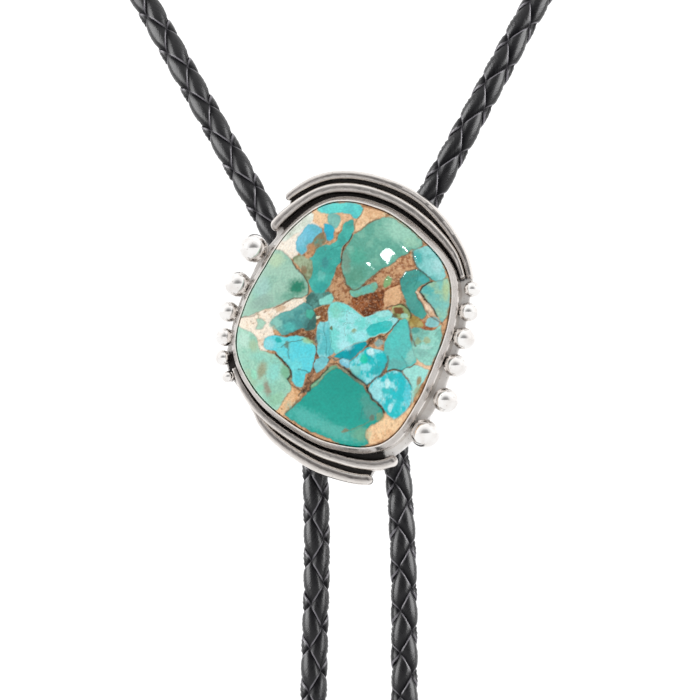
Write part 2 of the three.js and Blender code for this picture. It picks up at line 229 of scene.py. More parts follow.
RIGHT_TAIL_ROUTE = [
    (7.1, 4.25, -11.65), (7.12, 4.25, -16), (7.25, 4.25, -20.5), (7.6, 4.3, -24.5),
    (8.02, 4.3, -28.5), (8.35, 4.3, -33), (8.6, 4.3, -37.2), (8.82, 4.3, -43.7),
    (8.95, 4.3, -50), (8.97, 4.3, -56.6), (8.97, 4.3, -61), (8.98, 4.3, -65.2),
    (9.02, 4.3, -73), (9.06, 4.3, -81), (9.1, 4.3, -89), (9.12, 4.3, -100.7),
]


def glide(knots, parts=24):
    """Points of a smooth curve through the knots."""
    k = np.asarray(knots, float)
    k = np.vstack([2 * k[0] - k[1], k, 2 * k[-1] - k[-2]])
    t = np.arange(parts)[:, None] / parts
    made = []
    for a, b, c, d in zip(k[:-3], k[1:-2], k[2:-1], k[3:]):
        cubic = (3 * b - a - 3 * c + d) * t ** 3
        made.append(0.5 * (2 * b + (c - a) * t + (2 * a - 5 * b + 4 * c - d) * t ** 2 + cubic))
    return np.vstack([*made, k[-2:-1]])


def even_steps(points, step):
    """The same curve walked in equal steps, with the length walked at each."""
    walked = np.concatenate([[0], np.cumsum(np.linalg.norm(np.diff(points, axis=0), axis=1))])
    stops = np.linspace(0, walked[-1], int(round(walked[-1] / step)) + 1)
    return np.stack([np.interp(stops, walked, points[:, i]) for i in range(3)], 1), stops


def untwisted_frame(points, first):
    """Two sideways arrows at each point, carried along without twisting."""
    ahead = np.gradient(points, axis=0)
    ahead /= np.linalg.norm(ahead, axis=1)[:, None]
    side = np.empty_like(points)
    arrow = np.asarray(first, float)
    for i, way in enumerate(ahead):
        arrow = arrow - way * (arrow @ way)
        arrow = arrow / np.linalg.norm(arrow)
        side[i] = arrow
    return side, np.cross(ahead, side)


print("neck loop walked:", round(even_steps(glide(NECK_ROUTE), 1)[1][-1], 1), "mm")

# %% [markdown]
# In a four-strand round braid two flat laces wind to the right and two to the left. Each one
# passes over the next lace that it meets and under the one after. A picture of a braid on a plain
# tube would lose the bulging outline, so each lace is a real strip. Its distance from the middle
# rises and falls twice in a turn, the opposite way on the other pair, so that they cross over and
# under by turns. That distance also depends on the place across the lace, and the winding is
# eased, so that the edges look straight from the front. The strips are skived: thick in the middle
# and thin at the cut edges. Each strand has its own pitch, first crossing and turn, which bring
# its pattern to where the photo shows it. Near its ends a cord is a little fuller.

# %% One braided lace
LACE_WIDTH = 4.4
LACE_THICKNESS = 0.86
LACE_MIDDLE = 1.55
LACE_WEAVE = 0.42
LACE_OUTLINE = np.array([
    (1, 0.1), (0.98, 0.42), (0.91, 0.58), (0.76, 0.73), (0.55, 0.86), (0.3, 0.96), (0, 1),
    (-0.3, 0.96), (-0.55, 0.86), (-0.76, 0.73), (-0.91, 0.58), (-0.98, 0.42), (-1, 0.1),
    (-0.9, -0.5), (-0.45, -0.8), (0, -0.9), (0.45, -0.8), (0.9, -0.5),
])
LACE_STEEP = 1.4
LACE_LOWERED = 0.18
LACE_STRAIGHT = 0.24
LACE_WANDER = 0.05
CORE_RADIUS = 1.0
CORE_SIDES = 6
LACE_SWELL = 0.08
SWELL_REACH = 130
SWELL_FADE = 30
LACE_UNEVEN = 0.05
LACE_LIFT = 0.03
LACE_EASING = (0.3, 0.15)
GRAIN_APART = 37
BRAIDS = {
    "neck_braid": dict(
        route=NECK_ROUTE, pitch=18.2, first=8.31, column=56, facing=45, twist=-0.05, seed=11, every=0.42),
    "left_tail_braid": dict(
        route=LEFT_TAIL_ROUTE, pitch=15.84, first=6.7, column=-63, facing=-45, twist=0, seed=41, every=0.25),
    "right_tail_braid": dict(
        route=RIGHT_TAIL_ROUTE, pitch=15.34, first=5.06, column=23, facing=45, twist=0, seed=71, every=0.25),
}


def wave(place, length, seed):
    """A slow seeded wander along a lace, about -1 to 1."""
    knots = np.random.default_rng(seed).uniform(-1, 1, int(length / 5) + 3)
    return np.interp(place, np.linspace(0, length, len(knots)), knots)


def braided_cord(name, route, pitch, first, column, facing, twist, seed, every):
    """Four interlaced laces round a thin core, as one object with the grain for its material."""
    points, stops = even_steps(glide(route), every)
    length = stops[-1]
    side, out_way = untwisted_frame(points, (0, -1, 0))
    across = LACE_OUTLINE[:, 0] * LACE_WIDTH / 2
    out = LACE_OUTLINE[:, 1] * LACE_THICKNESS / 2
    sides = len(LACE_OUTLINE)
    lean = math.atan(2 * math.pi * LACE_MIDDLE / pitch)
    round_way = 2 * math.pi * (stops - first) / pitch
    to_end = np.minimum(stops, length - stops)
    girth = 1 + LACE_SWELL * np.clip((SWELL_REACH - to_end) / SWELL_FADE, 0, 1)
    seen_from = np.radians(column - facing + twist * stops)
    skins, faces, grain, edge, tuck = [], [], [], [], []
    for lace in range(4):
        hand = 1 if lace < 2 else -1
        turn = hand * round_way + math.radians(facing) + math.pi * (lace % 2)
        turn = turn + LACE_WANDER * wave(stops, length, seed + 10 + lace)
        breadth = 1 + LACE_UNEVEN * wave(stops, length, seed + 20 + lace)
        u = across[None, :] * breadth[:, None]
        at = np.clip(stops[:, None] - hand * u * math.sin(lean), 0, length) / length * (len(stops) - 1)
        low = np.clip(np.floor(at).astype(int), 0, len(stops) - 2)
        share = (at - low)[..., None]
        centre, ahead, beside = (a[low] * (1 - share) + a[low + 1] * share for a in (points, side, out_way))
        met = 2 * hand * round_way[:, None] + u / LACE_MIDDLE * math.cos(2 * lean) / math.cos(lean)
        over = -hand * np.cos(met) - LACE_LOWERED
        weave = np.tanh(LACE_STEEP * over) / math.tanh(LACE_STEEP)
        reach = LACE_MIDDLE + LACE_WEAVE * weave + LACE_LIFT * wave(stops, length, seed + lace)[:, None]
        plain = turn[:, None] + u * math.cos(lean) / LACE_MIDDLE
        eased = np.sin(2 * plain) - LACE_EASING[0] * np.sin(4 * plain) + LACE_EASING[1] * np.sin(6 * plain)
        angle = (plain - LACE_STRAIGHT * eased + seen_from[:, None])[..., None]
        outward = np.cos(angle) * ahead + np.sin(angle) * beside
        ring = centre + (girth[:, None] * (reach + out))[..., None] * outward
        faces += sew(len(stops), sides, start=lace * len(stops) * sides)
        skins.append(ring.reshape(-1, 3))
        run = np.broadcast_arrays(stops[:, None] + GRAIN_APART * lace, u, lace)
        grain.append(np.stack(run, -1).reshape(-1, 3))
        edge.append(np.broadcast_to(np.abs(LACE_OUTLINE[:, 0]), u.shape).ravel())
        tuck.append((0.5 - 0.5 * weave).ravel())
    spin = np.arange(CORE_SIDES)[None, :, None] * math.pi / 3
    core = points[:, None] + CORE_RADIUS * (np.cos(spin) * side[:, None] + np.sin(spin) * out_way[:, None])
    faces += sew(len(points), CORE_SIDES, start=4 * len(stops) * sides)
    skins.append(core.reshape(-1, 3))
    cord = as_object(name, np.vstack(skins), faces, crease=70)
    give(cord, "grain", np.vstack([*grain, np.zeros((CORE_SIDES * len(points), 3))]), "FLOAT_VECTOR")
    give(cord, "edge", np.concatenate([*edge, np.zeros(CORE_SIDES * len(points))]))
    give(cord, "tuck", np.concatenate([*tuck, np.ones(CORE_SIDES * len(points))]))
    return cord


neck_braid, left_braid, right_braid = (braided_cord(name, **values) for name, values in BRAIDS.items())
print("neck braid points:", len(neck_braid.data.vertices))

# %% [markdown]
# Each tail ends in a plain metal tip, turned like a small spindle: a collar with a socket for
# the cord, a long taper and a rounded bead before the point. A lathe makes such a form, and so
# does a half outline spun round an axis, which is how it is built here.

# %% The tips
TIP_TOP = -97.0
TIP_SOCKET = 4.0
TIP_SIDES = 64
TIP_OUTLINE = [
    (2.78, TIP_SOCKET), (2.78, 0.25), (2.86, 0.06), (3.0, 0), (3.2, 0.03), (3.33, 0.17), (3.35, 0.35),
    (3.35, 0.95), (3.31, 1.1), (3.2, 1.22), (3.09, 1.33), (3.0, 1.5), (3.01, 1.7), (3.04, 1.9),
    (3.02, 2.2), (2.93, 4.6), (2.72, 10.5), (2.5, 16.8), (2.3, 22.6), (2.2, 25.3),
    (2.2, 25.7), (2.27, 26.05), (2.4, 26.35), (2.48, 26.7), (2.5, 27.2), (2.5, 27.8),
    (2.46, 28.3), (2.3, 28.8), (2.0, 29.5), (1.6, 30.2), (1.1, 30.7), (0.55, 30.93),
]


def turned_tip(name, x, y):
    """A tip spun round the cord's end."""
    spin = np.arange(TIP_SIDES) * 2 * math.pi / TIP_SIDES
    rings = [
        np.stack([x + r * np.cos(spin), y + r * np.sin(spin), np.full(TIP_SIDES, TIP_TOP - down)], 1)
        for r, down in TIP_OUTLINE
    ]
    tip = as_object(name, np.vstack(rings), sew(len(rings), TIP_SIDES), crease=50)
    return tip


left_tip = turned_tip("left_tip_turned", LEFT_TAIL_ROUTE[-1][0], LEFT_TAIL_ROUTE[-1][1])
right_tip = turned_tip("right_tip_turned", RIGHT_TAIL_ROUTE[-1][0], RIGHT_TAIL_ROUTE[-1][1])
for tip, node in ((left_tip, "left_tip"), (right_tip, "right_tip")):
    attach(tip, "root")
    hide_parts(node)
print("tip length:", TIP_OUTLINE[-1][1], "mm")

# %% [markdown]
# The neck loop is about 0.52 m and goes back into the clip, so both its ends sit there. Each
# tail is 89 mm to the end that sits in its tip. Each cord rides with the root, and the plain tube
# that it replaces is hidden.

# %% The cords ride with the root
for braid, node in ((neck_braid, "neck_cord"), (left_braid, "left_tail"), (right_braid, "right_tail")):
    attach(braid, "root")
    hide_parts(node)

# %% [markdown]
# The bezel is a strip of silver bent into a lopsided oval round the stone. Its radius is known at
# fifteen angles, and one smooth closed curve through them gives it anywhere. Every other part of
# the slide is placed by an angle round this oval and a distance out from it.

# %% The bezel's oval
PLATE_THICKNESS = 1.0
BEZEL_STEP = 24.0
BEZEL_RADII = np.array([
    20.0, 21.9, 21.7, 22.5, 23.0, 20.8, 19.0, 19.6, 21.3, 21.2, 21.2, 22.5, 23.6, 20.6, 19.0,
])


def bezel_radius(angle):
    """The oval's radius at an angle in degrees, from +X towards +Z."""
    turn = np.asarray(angle, float) / BEZEL_STEP
    first = np.floor(turn).astype(int)
    t = turn - first
    a, b, c, d = (BEZEL_RADII[(first + k) % len(BEZEL_RADII)] for k in (-1, 0, 1, 2))
    cubic = (3 * b - a - 3 * c + d) * t ** 3
    return 0.5 * (2 * b + (c - a) * t + (2 * a - 5 * b + 4 * c - d) * t ** 2 + cubic)


def on_slide(angle, out, height):
    """A point by its angle, its distance out from the oval, and its height over the plate."""
    reach = bezel_radius(angle) + out
    turn = np.radians(angle)
    return np.stack(np.broadcast_arrays(
        reach * np.cos(turn), -PLATE_THICKNESS - height, reach * np.sin(turn)
    ), -1)


def column(rows, name, angle):
    """A named column of a table, drawn smoothly through its rows without overshooting."""
    at = np.array([row["at"] for row in rows], float)
    value = np.array([row[name] for row in rows], float)
    slope = np.diff(value) / np.diff(at)
    middle = np.zeros(len(at))
    same = slope[:-1] * slope[1:] > 0
    both = np.where(same, slope[:-1] + slope[1:], 1)
    middle[1:-1] = np.where(same, 2 * slope[:-1] * slope[1:] / both, 0)
    angle = np.clip(angle, at[0], at[-1])
    i = np.clip(np.searchsorted(at, angle, side="right") - 1, 0, len(at) - 2)
    wide = at[i + 1] - at[i]
    t = (angle - at[i]) / wide
    ends = (2 * t ** 3 - 3 * t ** 2 + 1) * value[i] + (3 * t ** 2 - 2 * t ** 3) * value[i + 1]
    lean = (t ** 3 - 2 * t ** 2 + t) * middle[i] + (t ** 3 - t ** 2) * middle[i + 1]
    return ends + wide * lean


print("oval across:", round(float(bezel_radius(0) + bezel_radius(180)), 1), "mm")

# %% [markdown]
# Hand-made silver is never ruler straight. A little seeded unevenness, smooth along the piece and
# far smaller than its thickness, makes a highlight wander as it does on the real wire. It could be
# a bump in the material, but true unevenness also shows in the outline.

# %% A silversmith's unevenness
def uneven(x, y, size, seed):
    """Smooth seeded noise from -1 to 1 over two coordinates, with features of one size."""
    table = np.random.default_rng(seed).uniform(-1, 1, (64, 64))
    u, v = np.asarray(x, float) / size, np.asarray(y, float) / size
    i, j = np.floor(u).astype(int), np.floor(v).astype(int)
    f, g = u - i, v - j
    f, g = f * f * (3 - 2 * f), g * g * (3 - 2 * g)
    near = table[i % 64, j % 64] * (1 - f) + table[(i + 1) % 64, j % 64] * f
    far = table[i % 64, (j + 1) % 64] * (1 - f) + table[(i + 1) % 64, (j + 1) % 64] * f
    return near * (1 - g) + far * g


print("unevenness at one point:", round(float(uneven(3.2, 1.1, 1, 5)), 3))

# %% [markdown]
# The back plate is a flat sheet, sawn so that it follows the balls and the wires. It is darkened
# in the narrow channels, where the smith left the blackening on, and bright where it was rubbed.
# How dark each point is can be worked out from where it lies, and is kept as a number on the
# point for the material to read.

# %% The back plate
PLATE_ROWS = [dict(zip(("at", "out"), row)) for row in [
    (0, 1.3), (10, 1.4), (17, 2.1), (23, 2.5), (35, 3.0), (48, 3.7), (60, 3.9), (75, 3.9),
    (90, 4.1), (105, 4.5), (114, 4.5), (118, 3.2), (126, 2.3), (130, 1.3), (141, 1.8),
    (159, 1.3), (185, 1.3), (193, 2.1), (201, 2.4), (209, 1.9), (218, 2.2), (230, 3.1),
    (250, 3.8), (262, 4.2), (277, 4.5), (280, 3.1), (284, 2.3), (291, 1.3), (306, 1.4),
    (322, 1.6), (339, 1.3), (360, 1.3),
]]
PLATE_SPOKES = 720
PLATE_EDGE = [(-0.18, -1.0), (-0.05, -0.95), (0.0, -0.82), (0.0, -0.18), (-0.05, -0.05), (-0.18, 0.0)]
PLATE_IN = [-0.5, -0.9, -1.4, -2.0, -2.8, -3.8, -5.0]
DARK_ARCS = [(19, 126, 1.0), (190, 287, 1.0)]


def darkness(angle):
    """How black the channels are at an angle round the slide, 0 to 1."""
    angle = np.asarray(angle, float) % 360
    dark = np.zeros_like(angle)
    for start, end, depth in DARK_ARCS:
        rise = np.clip((angle - start) / 3, 0, 1) * np.clip((end - angle) / 3, 0, 1)
        dark = np.maximum(dark, depth * rise)
    return dark


def back_plate():
    """Rings from the middle of the rear face, round the edge, to the middle of the front."""
    angle = np.arange(PLATE_SPOKES) * 360 / PLATE_SPOKES
    edge = column(PLATE_ROWS, "out", angle)
    rings = [on_slide(angle, -12, -1.0)]
    rings += [on_slide(angle, edge + out, height) for out, height in PLATE_EDGE]
    rings += [on_slide(angle, edge + out, 0.0) for out in PLATE_IN] + [on_slide(angle, -12, 0.0)]
    dark = [np.zeros(PLATE_SPOKES)] * 5
    dark += [darkness(angle) * (0.0 if i < 2 else 1.0) for i in range(len(rings) - 5)]
    plate = as_object("back_plate", np.vstack(rings), sew(len(rings), PLATE_SPOKES), crease=60)
    give(plate, "tarnish", np.concatenate(dark))
    give(plate, "grain", np.vstack(rings), "FLOAT_VECTOR")
    return plate


plate = back_plate()
print("back plate:", [round(v * 1000, 1) for v in plate.dimensions])

# %% [markdown]
# The bezel's wall stands on the plate and leans in over the stone, where its lip was pressed down
# with a burnisher. That leaves a broad slope, a thin bright rim and a dark line where it meets the
# stone. Its section is swept round the oval with a slight wander in the lean and the height.

# %% The bezel
BEZEL_SPOKES = 900
BEZEL_SECTION = [
    (0.0, -0.3), (0.0, 1.2), (0.0, 2.7), (0.01, 3.15), (0.06, 3.38), (0.16, 3.6),
    (0.42, 4.03), (0.66, 4.42), (0.8, 4.64), (0.87, 4.73), (0.95, 4.79), (1.02, 4.79),
    (1.08, 4.74), (1.1, 4.64), (1.06, 4.45), (0.83, 3.8), (0.6, 3.15), (0.55, 2.9),
    (0.55, 1.2), (0.55, -0.3),
]
BEZEL_RIM = 13
# Painted reflection: how strongly the bezel's slope is greyed, in place of the dim side of the tent that it
# would mirror.
BEZEL_DIM_REFLECTION = 0.5


def bezel():
    """The bezel's section swept round its oval."""
    angle = np.arange(BEZEL_SPOKES) * 360 / BEZEL_SPOKES
    length = angle / 360 * 135
    rings, dark, painted_dim_reflection, grain = [], [], [], []
    for i, (inset, height) in enumerate(BEZEL_SECTION):
        high = max(0.0, height - 2.5) / 2.3
        inward = inset + 0.05 * high * uneven(length, i * 0.35, 2.6, 31)
        raised = height + 0.03 * high * uneven(length, i * 0.5, 1.7, 32)
        rings.append(on_slide(angle, -inward, np.minimum(raised, 4.8)))
        low = 1.0 if height < 1.5 else (0.6 if height < 2.5 else 0.0)
        inner = i > BEZEL_RIM
        # The slope's rings carry the painted dim reflection; the foot and the rim stay clear of it.
        painted_dim_reflection.append(np.full(BEZEL_SPOKES, BEZEL_DIM_REFLECTION if 0.1 < inset < 0.85 else 0.0))
        dark.append(np.full(BEZEL_SPOKES, 0.6) if inner else np.maximum(darkness(angle) * low, 0.2))
        grain.append(np.stack(np.broadcast_arrays(length, i * 0.35, 0.0), 1))
    points = np.stack(rings, 1).reshape(-1, 3)
    made = as_object("bezel", points, sew(BEZEL_SPOKES, len(BEZEL_SECTION), ends="loop"), crease=60)
    give(made, "tarnish", np.stack(dark, 1))
    give(made, "painted_dim_reflection", np.stack(painted_dim_reflection, 1))
    give(made, "grain", np.stack(grain, 1), "FLOAT_VECTOR")
    return made


bezel_wall = bezel()
print("bezel points:", len(bezel_wall.data.vertices))

# %% [markdown]
# Four crescents of half-round wire hug the bezel, two above and two below. Each is thick in the
# middle of its sweep and has a rounded end. The outer wire above was filed with a fine line that
# splits its right half into two ridges. A table gives each wire its place, width and height by
# angle, and a flattened oval is swept through it.

# %% The crescent wires
WIRE_SINK = 0.3
WIRE_SIDES = 36
WIRE_PATINA = 0.2
WIRE_TURN = 0.55
WIRE_FULLER = 0.26
WIRE_SQUARE = 0.75
WIRE_RADIUS = 23
CAP_STEPS = 9
DEGREES = 57.3
# Painted reflection on the wires: a grey band over each wire's broad face, in place of the dim side of the
# tent that it would mirror.
INNER_DIM_REFLECTION, INNER_DIM_REFLECTION_END, INNER_DIM_REFLECTION_FADE = 0.62, 0.62, 0.3
OUTER_DIM_REFLECTION, OUTER_DIM_REFLECTION_MIDDLE, OUTER_DIM_REFLECTION_HALF = 0.95, -0.1, 0.5
WIRES = {
    "top_inner": [
        (22, .75, 1.0, 1.5), (35, 1.2, 1.45, 1.9), (48, 1.5, 1.65, 2.0), (62, 1.56, 1.72, 2.0),
        (75, 1.66, 1.72, 2.0), (90, 1.81, 1.77, 2.0), (105, 2.29, 1.7, 2.0), (126, 2.6, 1.8, 1.9),
    ],
    "top_outer": [
        (21, 2.15, 1.0, 1.5), (35, 2.85, 1.2, 1.9), (48, 3.7, 1.45, 2.1), (60, 4.08, 1.35, 2.2),
        (75, 4.05, 1.35, 2.2), (90, 4.17, 1.35, 2.1), (105, 4.6, 1.4, 1.9), (115, 4.8, 1.1, 1.5),
    ],
    "bottom_inner": [
        (200, 1.05, .9, 1.2), (211, 1.2, 1.3, 1.6), (230, 1.35, 1.4, 1.8), (250, 1.35, 1.5, 1.9),
        (262, 1.45, 1.7, 2.0), (275, 1.9, 1.85, 2.0), (288, 2.35, 1.95, 1.9),
    ],
    "bottom_outer": [
        (220, 1.95, .6, 1.0), (227, 2.6, 1.1, 1.5), (237, 3.25, 1.5, 1.9), (250, 3.65, 1.8, 2.0),
        (262, 4.1, 1.95, 2.0), (277, 4.7, 1.85, 1.9),
    ],
}
WIRE_COLUMNS = ("at", "out", "wide", "high")
SPLIT_LINE = {"top_outer": (24, 74, 0.16, 0.3)}


def wire_stops(rows):
    """Angles along a wire, crowded at both ends, with how far its round end has closed."""
    first, last = rows[0]["at"], rows[-1]["at"]
    stops, closed = [], []
    for i in range(CAP_STEPS):
        turn = math.pi / 2 * (i + 0.4) / CAP_STEPS
        stops.append(1 - math.cos(turn))
        closed.append(math.sin(turn))
    run = np.arange(first, last, WIRE_TURN)
    cap_low = rows[0]["wide"] / 2 / bezel_radius(first) * DEGREES
    cap_high = rows[-1]["wide"] / 2 / bezel_radius(last) * DEGREES
    ahead = first - cap_low + np.array(stops) * cap_low
    behind = last + cap_high - np.array(stops)[::-1] * cap_high
    angle = np.concatenate([ahead, run[1:], [last], behind])
    size = np.concatenate([closed, np.ones(len(run)), closed[::-1]])
    return angle, size


def crescent_wire(name, table, seed):
    """One wire, swept along its table."""
    rows = [dict(zip(WIRE_COLUMNS, row)) for row in table]
    angle, size = wire_stops(rows)
    out, wide, high = (column(rows, c, angle) for c in WIRE_COLUMNS[1:])
    out, wide = out - WIRE_FULLER / 2, wide + WIRE_FULLER
    length = np.cumsum(np.concatenate([[0], np.diff(angle)])) / DEGREES * WIRE_RADIUS
    turn = np.arange(WIRE_SIDES) * 2 * math.pi / WIRE_SIDES
    across = np.sign(np.cos(turn)) * np.abs(np.cos(turn)) ** WIRE_SQUARE
    up = np.sign(np.sin(turn)) * np.abs(np.sin(turn)) ** WIRE_SQUARE
    total = high + WIRE_SINK
    sweep = out[:, None] + size[:, None] * wide[:, None] / 2 * across[None, :]
    rise = total[:, None] / 2 * (1 + size[:, None] * up[None, :]) - WIRE_SINK
    if name in SPLIT_LINE:
        low, end, depth, place = SPLIT_LINE[name]
        share = np.clip((angle - low) / 16, 0, 1) * np.clip((end - angle) / 6, 0, 1)
        line = np.exp(-((across - place) / 0.13) ** 2) * (up > 0)
        rise = rise - depth * share[:, None] * line[None, :]
    top = np.clip(up, 0, 1)[None, :]
    dent = uneven(length[:, None], across[None, :] * wide[:, None], 0.8, seed)
    rise = rise - top * size[:, None] * (0.02 + 0.02 * dent)
    sweep = sweep + 0.02 * uneven(length[:, None], turn[None, :], 2.2, seed + 1) * size[:, None]
    points = on_slide(angle[:, None], sweep, rise)
    made = as_object(name + "_wire", points.reshape(-1, 3), sew(len(angle), WIRE_SIDES), crease=60)
    dark = np.clip((0.75 - rise) / 0.5, 0, 1) * darkness(angle)[:, None]
    outer = name.endswith("outer")
    if outer:
        dark = dark * np.clip(0.5 - across, 0, 1)[None, :]
    give(made, "tarnish", np.maximum(dark, WIRE_PATINA))
    # The painted dim reflection covers the inner wires up to near their outer edge, and the outer wires
    # round their middle.
    painted_dim_reflection = INNER_DIM_REFLECTION * np.clip((INNER_DIM_REFLECTION_END - across) / INNER_DIM_REFLECTION_FADE, 0, 1)
    if outer:
        painted_dim_reflection = OUTER_DIM_REFLECTION * np.exp(-((across - OUTER_DIM_REFLECTION_MIDDLE) / OUTER_DIM_REFLECTION_HALF) ** 2)
    give(made, "painted_dim_reflection", np.broadcast_to(painted_dim_reflection, dark.shape))
    grain = np.stack(np.broadcast_arrays(length[:, None], turn[None, :] * wide[:, None] / 2, 0.0), -1)
    give(made, "grain", grain, "FLOAT_VECTOR")
    return made


wires = [crescent_wire(name, table, 50 + 7 * i) for i, (name, table) in enumerate(WIRES.items())]
print("wires:", [w.name for w in wires])

# %% [markdown]
# Twelve silver balls step down in size along the two sides. Such balls are melted from scraps, so
# each is round with a slightly flat seat, and solder creeps up round its foot. A turned outline
# with a flare at the plate gives both at once.

# %% The balls
BALLS = {
    "left": [
        (140.7, 3.2, 2.6), (159.1, 2.45, 2.35), (172.8, 2.25, 1.9), (184.5, 1.95, 1.7),
        (193.5, 2.4, 1.4), (202, 2.6, 1.1),
    ],
    "right": [
        (15.1, 2.1, 1.45), (5.2, 1.65, 1.75), (352.6, 1.8, 2.0), (338.9, 2.05, 2.1),
        (322.4, 2.85, 2.25), (305.8, 2.85, 2.6),
    ],
}
BALL_SEAT = 0.7
BALL_SIDES = 48
BALL_RINGS = 26


def silver_ball(name, at, out, radius, seed):
    """A ball with its solder flare, standing on the plate."""
    middle = on_slide(at, out, BALL_SEAT * radius)
    low = math.asin(-BALL_SEAT)
    tilt = np.linspace(math.pi / 2 - 0.03, low + 0.12, BALL_RINGS)
    reach = radius * np.cos(tilt)
    rise = radius * np.sin(tilt) + BALL_SEAT * radius
    reach = np.concatenate([reach, [reach[-1] + 0.02 * radius, reach[-1] + 0.1 * radius]])
    rise = np.concatenate([rise, [0.05 * radius, -0.02]])
    reach = np.append(reach, reach[-1])
    rise = np.append(rise, -0.3)
    spin = np.arange(BALL_SIDES) * 2 * math.pi / BALL_SIDES
    swell = 1 + 0.012 * uneven(np.cos(spin) * 2 + 5, np.sin(spin) * 2 + 5, 1.4, seed)
    x = middle[0] + reach[:, None] * swell * np.cos(spin)
    z = middle[2] + reach[:, None] * swell * np.sin(spin)
    y = np.broadcast_to(-PLATE_THICKNESS - rise[:, None], x.shape)
    points = np.stack([x, y, z], -1)
    made = as_object(name, points.reshape(-1, 3), sew(len(reach), BALL_SIDES), crease=75)
    inward = np.cos(np.arctan2(z, x) - math.radians(at)) * np.hypot(x, z) < np.hypot(middle[0], middle[2])
    shade = 0.7 * np.clip((0.35 - rise / radius) / 0.3, 0, 1)[:, None] * darkness(at) * inward
    give(made, "tarnish", shade)
    give(made, "grain", points.reshape(-1, 3), "FLOAT_VECTOR")
    return made


balls = []
for hand, rows in BALLS.items():
    for i, (at, out, radius) in enumerate(rows):
        balls.append(silver_ball(f"{hand}_ball_{i + 1}", at, out, radius, 90 + len(balls)))
print("balls:", len(balls))

# %% [markdown]
# The plate, bezel, wires and balls are soldered together, so they are one node in the packed
# model, and all of them stand for it.

# %% The silver pieces ride together
silver_pieces = [plate, bezel_wall, *wires, *balls]
for piece in silver_pieces:
    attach(piece, "root")
    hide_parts("silver_setting")
print("silver pieces:", len(silver_pieces))

# %% [markdown]
# The stone is a polished dome. A grid that is bent from a square into the oval keeps its squares
# even, where rings would crowd in the middle, so the fine map of chips gets the same detail
# everywhere. The dome's height depends only on how far a point lies from the middle to the rim.

# %% The dome's grid
STONE_INSET = 1.24
DOME_FOOT = 4.7
DOME_RISE = 3.8
DOME_POWER = 2.4
DOME_GRID = 283


def dome_height(share):
    """The dome's height over the plate, from the rim (share 1) to the middle (share 0)."""
    return DOME_FOOT + DOME_RISE * np.sqrt(np.clip(1 - share ** DOME_POWER, 0, 1))


def square_to_oval(x, y):
    """A point of a square, bent into a share of the way out and an angle in degrees."""
    wide = np.abs(x) > np.abs(y)
    safe_x = np.where(x == 0, 1, x)
    safe_y = np.where(y == 0, 1, y)
    reach = np.where(wide, x, y)
    turn = np.where(wide, 45 * y / safe_x, 90 - 45 * x / safe_y)
    return np.abs(reach), np.where(reach < 0, turn + 180, turn)


line = np.linspace(-1, 1, DOME_GRID)
square_x, square_y = (a.ravel() for a in np.meshgrid(line, line, indexing="xy"))
dome_share, dome_angle = square_to_oval(square_x, square_y)
dome_reach = dome_share * (bezel_radius(dome_angle) - STONE_INSET)
dome_x = dome_reach * np.cos(np.radians(dome_angle))
dome_z = dome_reach * np.sin(np.radians(dome_angle))
dome_y = -PLATE_THICKNESS - dome_height(dome_share)
print("dome points:", len(dome_x))

# %% [markdown]
# The stone is a mosaic of turquoise chips set in bronze. Which chip lies where is read off the
# photo and written as a small chart: each chip's outline in photo pixels, and
# its colours. To lay the chart on the dome, each point of the dome is carried along the camera's
# line of sight to its pixel. The camera's place is a fixed number, so the colours stay on the
# stone from every side.

# %% From the dome to the photo
def photo_pixel(points):
    """Where a point of the slide shows in the photo, in pixels."""
    eye = VIEW_TARGET + VIEW_DISTANCE * BACK
    right = np.array([math.cos(VIEW_AZIMUTH), math.sin(VIEW_AZIMUTH), 0])
    up = np.cross(right, -BACK)
    away = points - eye
    scale = LENS / SENSOR * PHOTO_SIDE / (away @ -BACK)
    half = PHOTO_SIDE / 2
    return half + (away @ right) * scale, half - (away @ up) * scale


photo_x, photo_y = photo_pixel(np.stack([dome_x, dome_y, dome_z], -1))
print("stone in the photo: x", photo_x.min().round(), photo_x.max().round(),
      "y", photo_y.min().round(), photo_y.max().round())

# %% [markdown]
# A chart needs three brushes. The first fills an outline, and knows how far inside it each point
# is. The second lays a soft spot. The third draws a line of a given width. All three work on
# points that are nudged by fine noise, so that no border looks cut with a knife.

# %% The brushes of the chart
def rounded(outline, parts=4):
    """An outline with its corners eased, as a closed ring of points."""
    k = np.asarray(outline, float)
    t = np.arange(parts)[:, None] / parts
    made = []
    for i in range(len(k)):
        a, b, c, d = k[i - 1], k[i], k[(i + 1) % len(k)], k[(i + 2) % len(k)]
        m, n = 0.3 * (c - a), 0.3 * (d - b)
        made.append(
            b * (2 * t ** 3 - 3 * t ** 2 + 1) + c * (3 * t ** 2 - 2 * t ** 3)
            + m * (t ** 3 - 2 * t ** 2 + t) + n * (t ** 3 - t ** 2)
        )
    return np.vstack(made)


def from_line(x, y, points, closed):
    """Distance from a line of points, and whether each point lies inside it when closed."""
    best = np.full(x.shape, 1e9)
    inside = np.zeros(x.shape, bool)
    pairs = list(zip(points[:-1], points[1:]))
    if closed:
        pairs.append((points[-1], points[0]))
    for (ax, ay), (bx, by) in pairs:
        ex, ey = bx - ax, by - ay
        along = np.clip(((x - ax) * ex + (y - ay) * ey) / (ex * ex + ey * ey + 1e-9), 0, 1)
        best = np.minimum(best, np.hypot(x - ax - along * ex, y - ay - along * ey))
        crossing = (ay > y) != (by > y)
        inside ^= crossing & (x < ax + (y - ay) * ex / (ey if ey else 1e-9))
    return best, inside


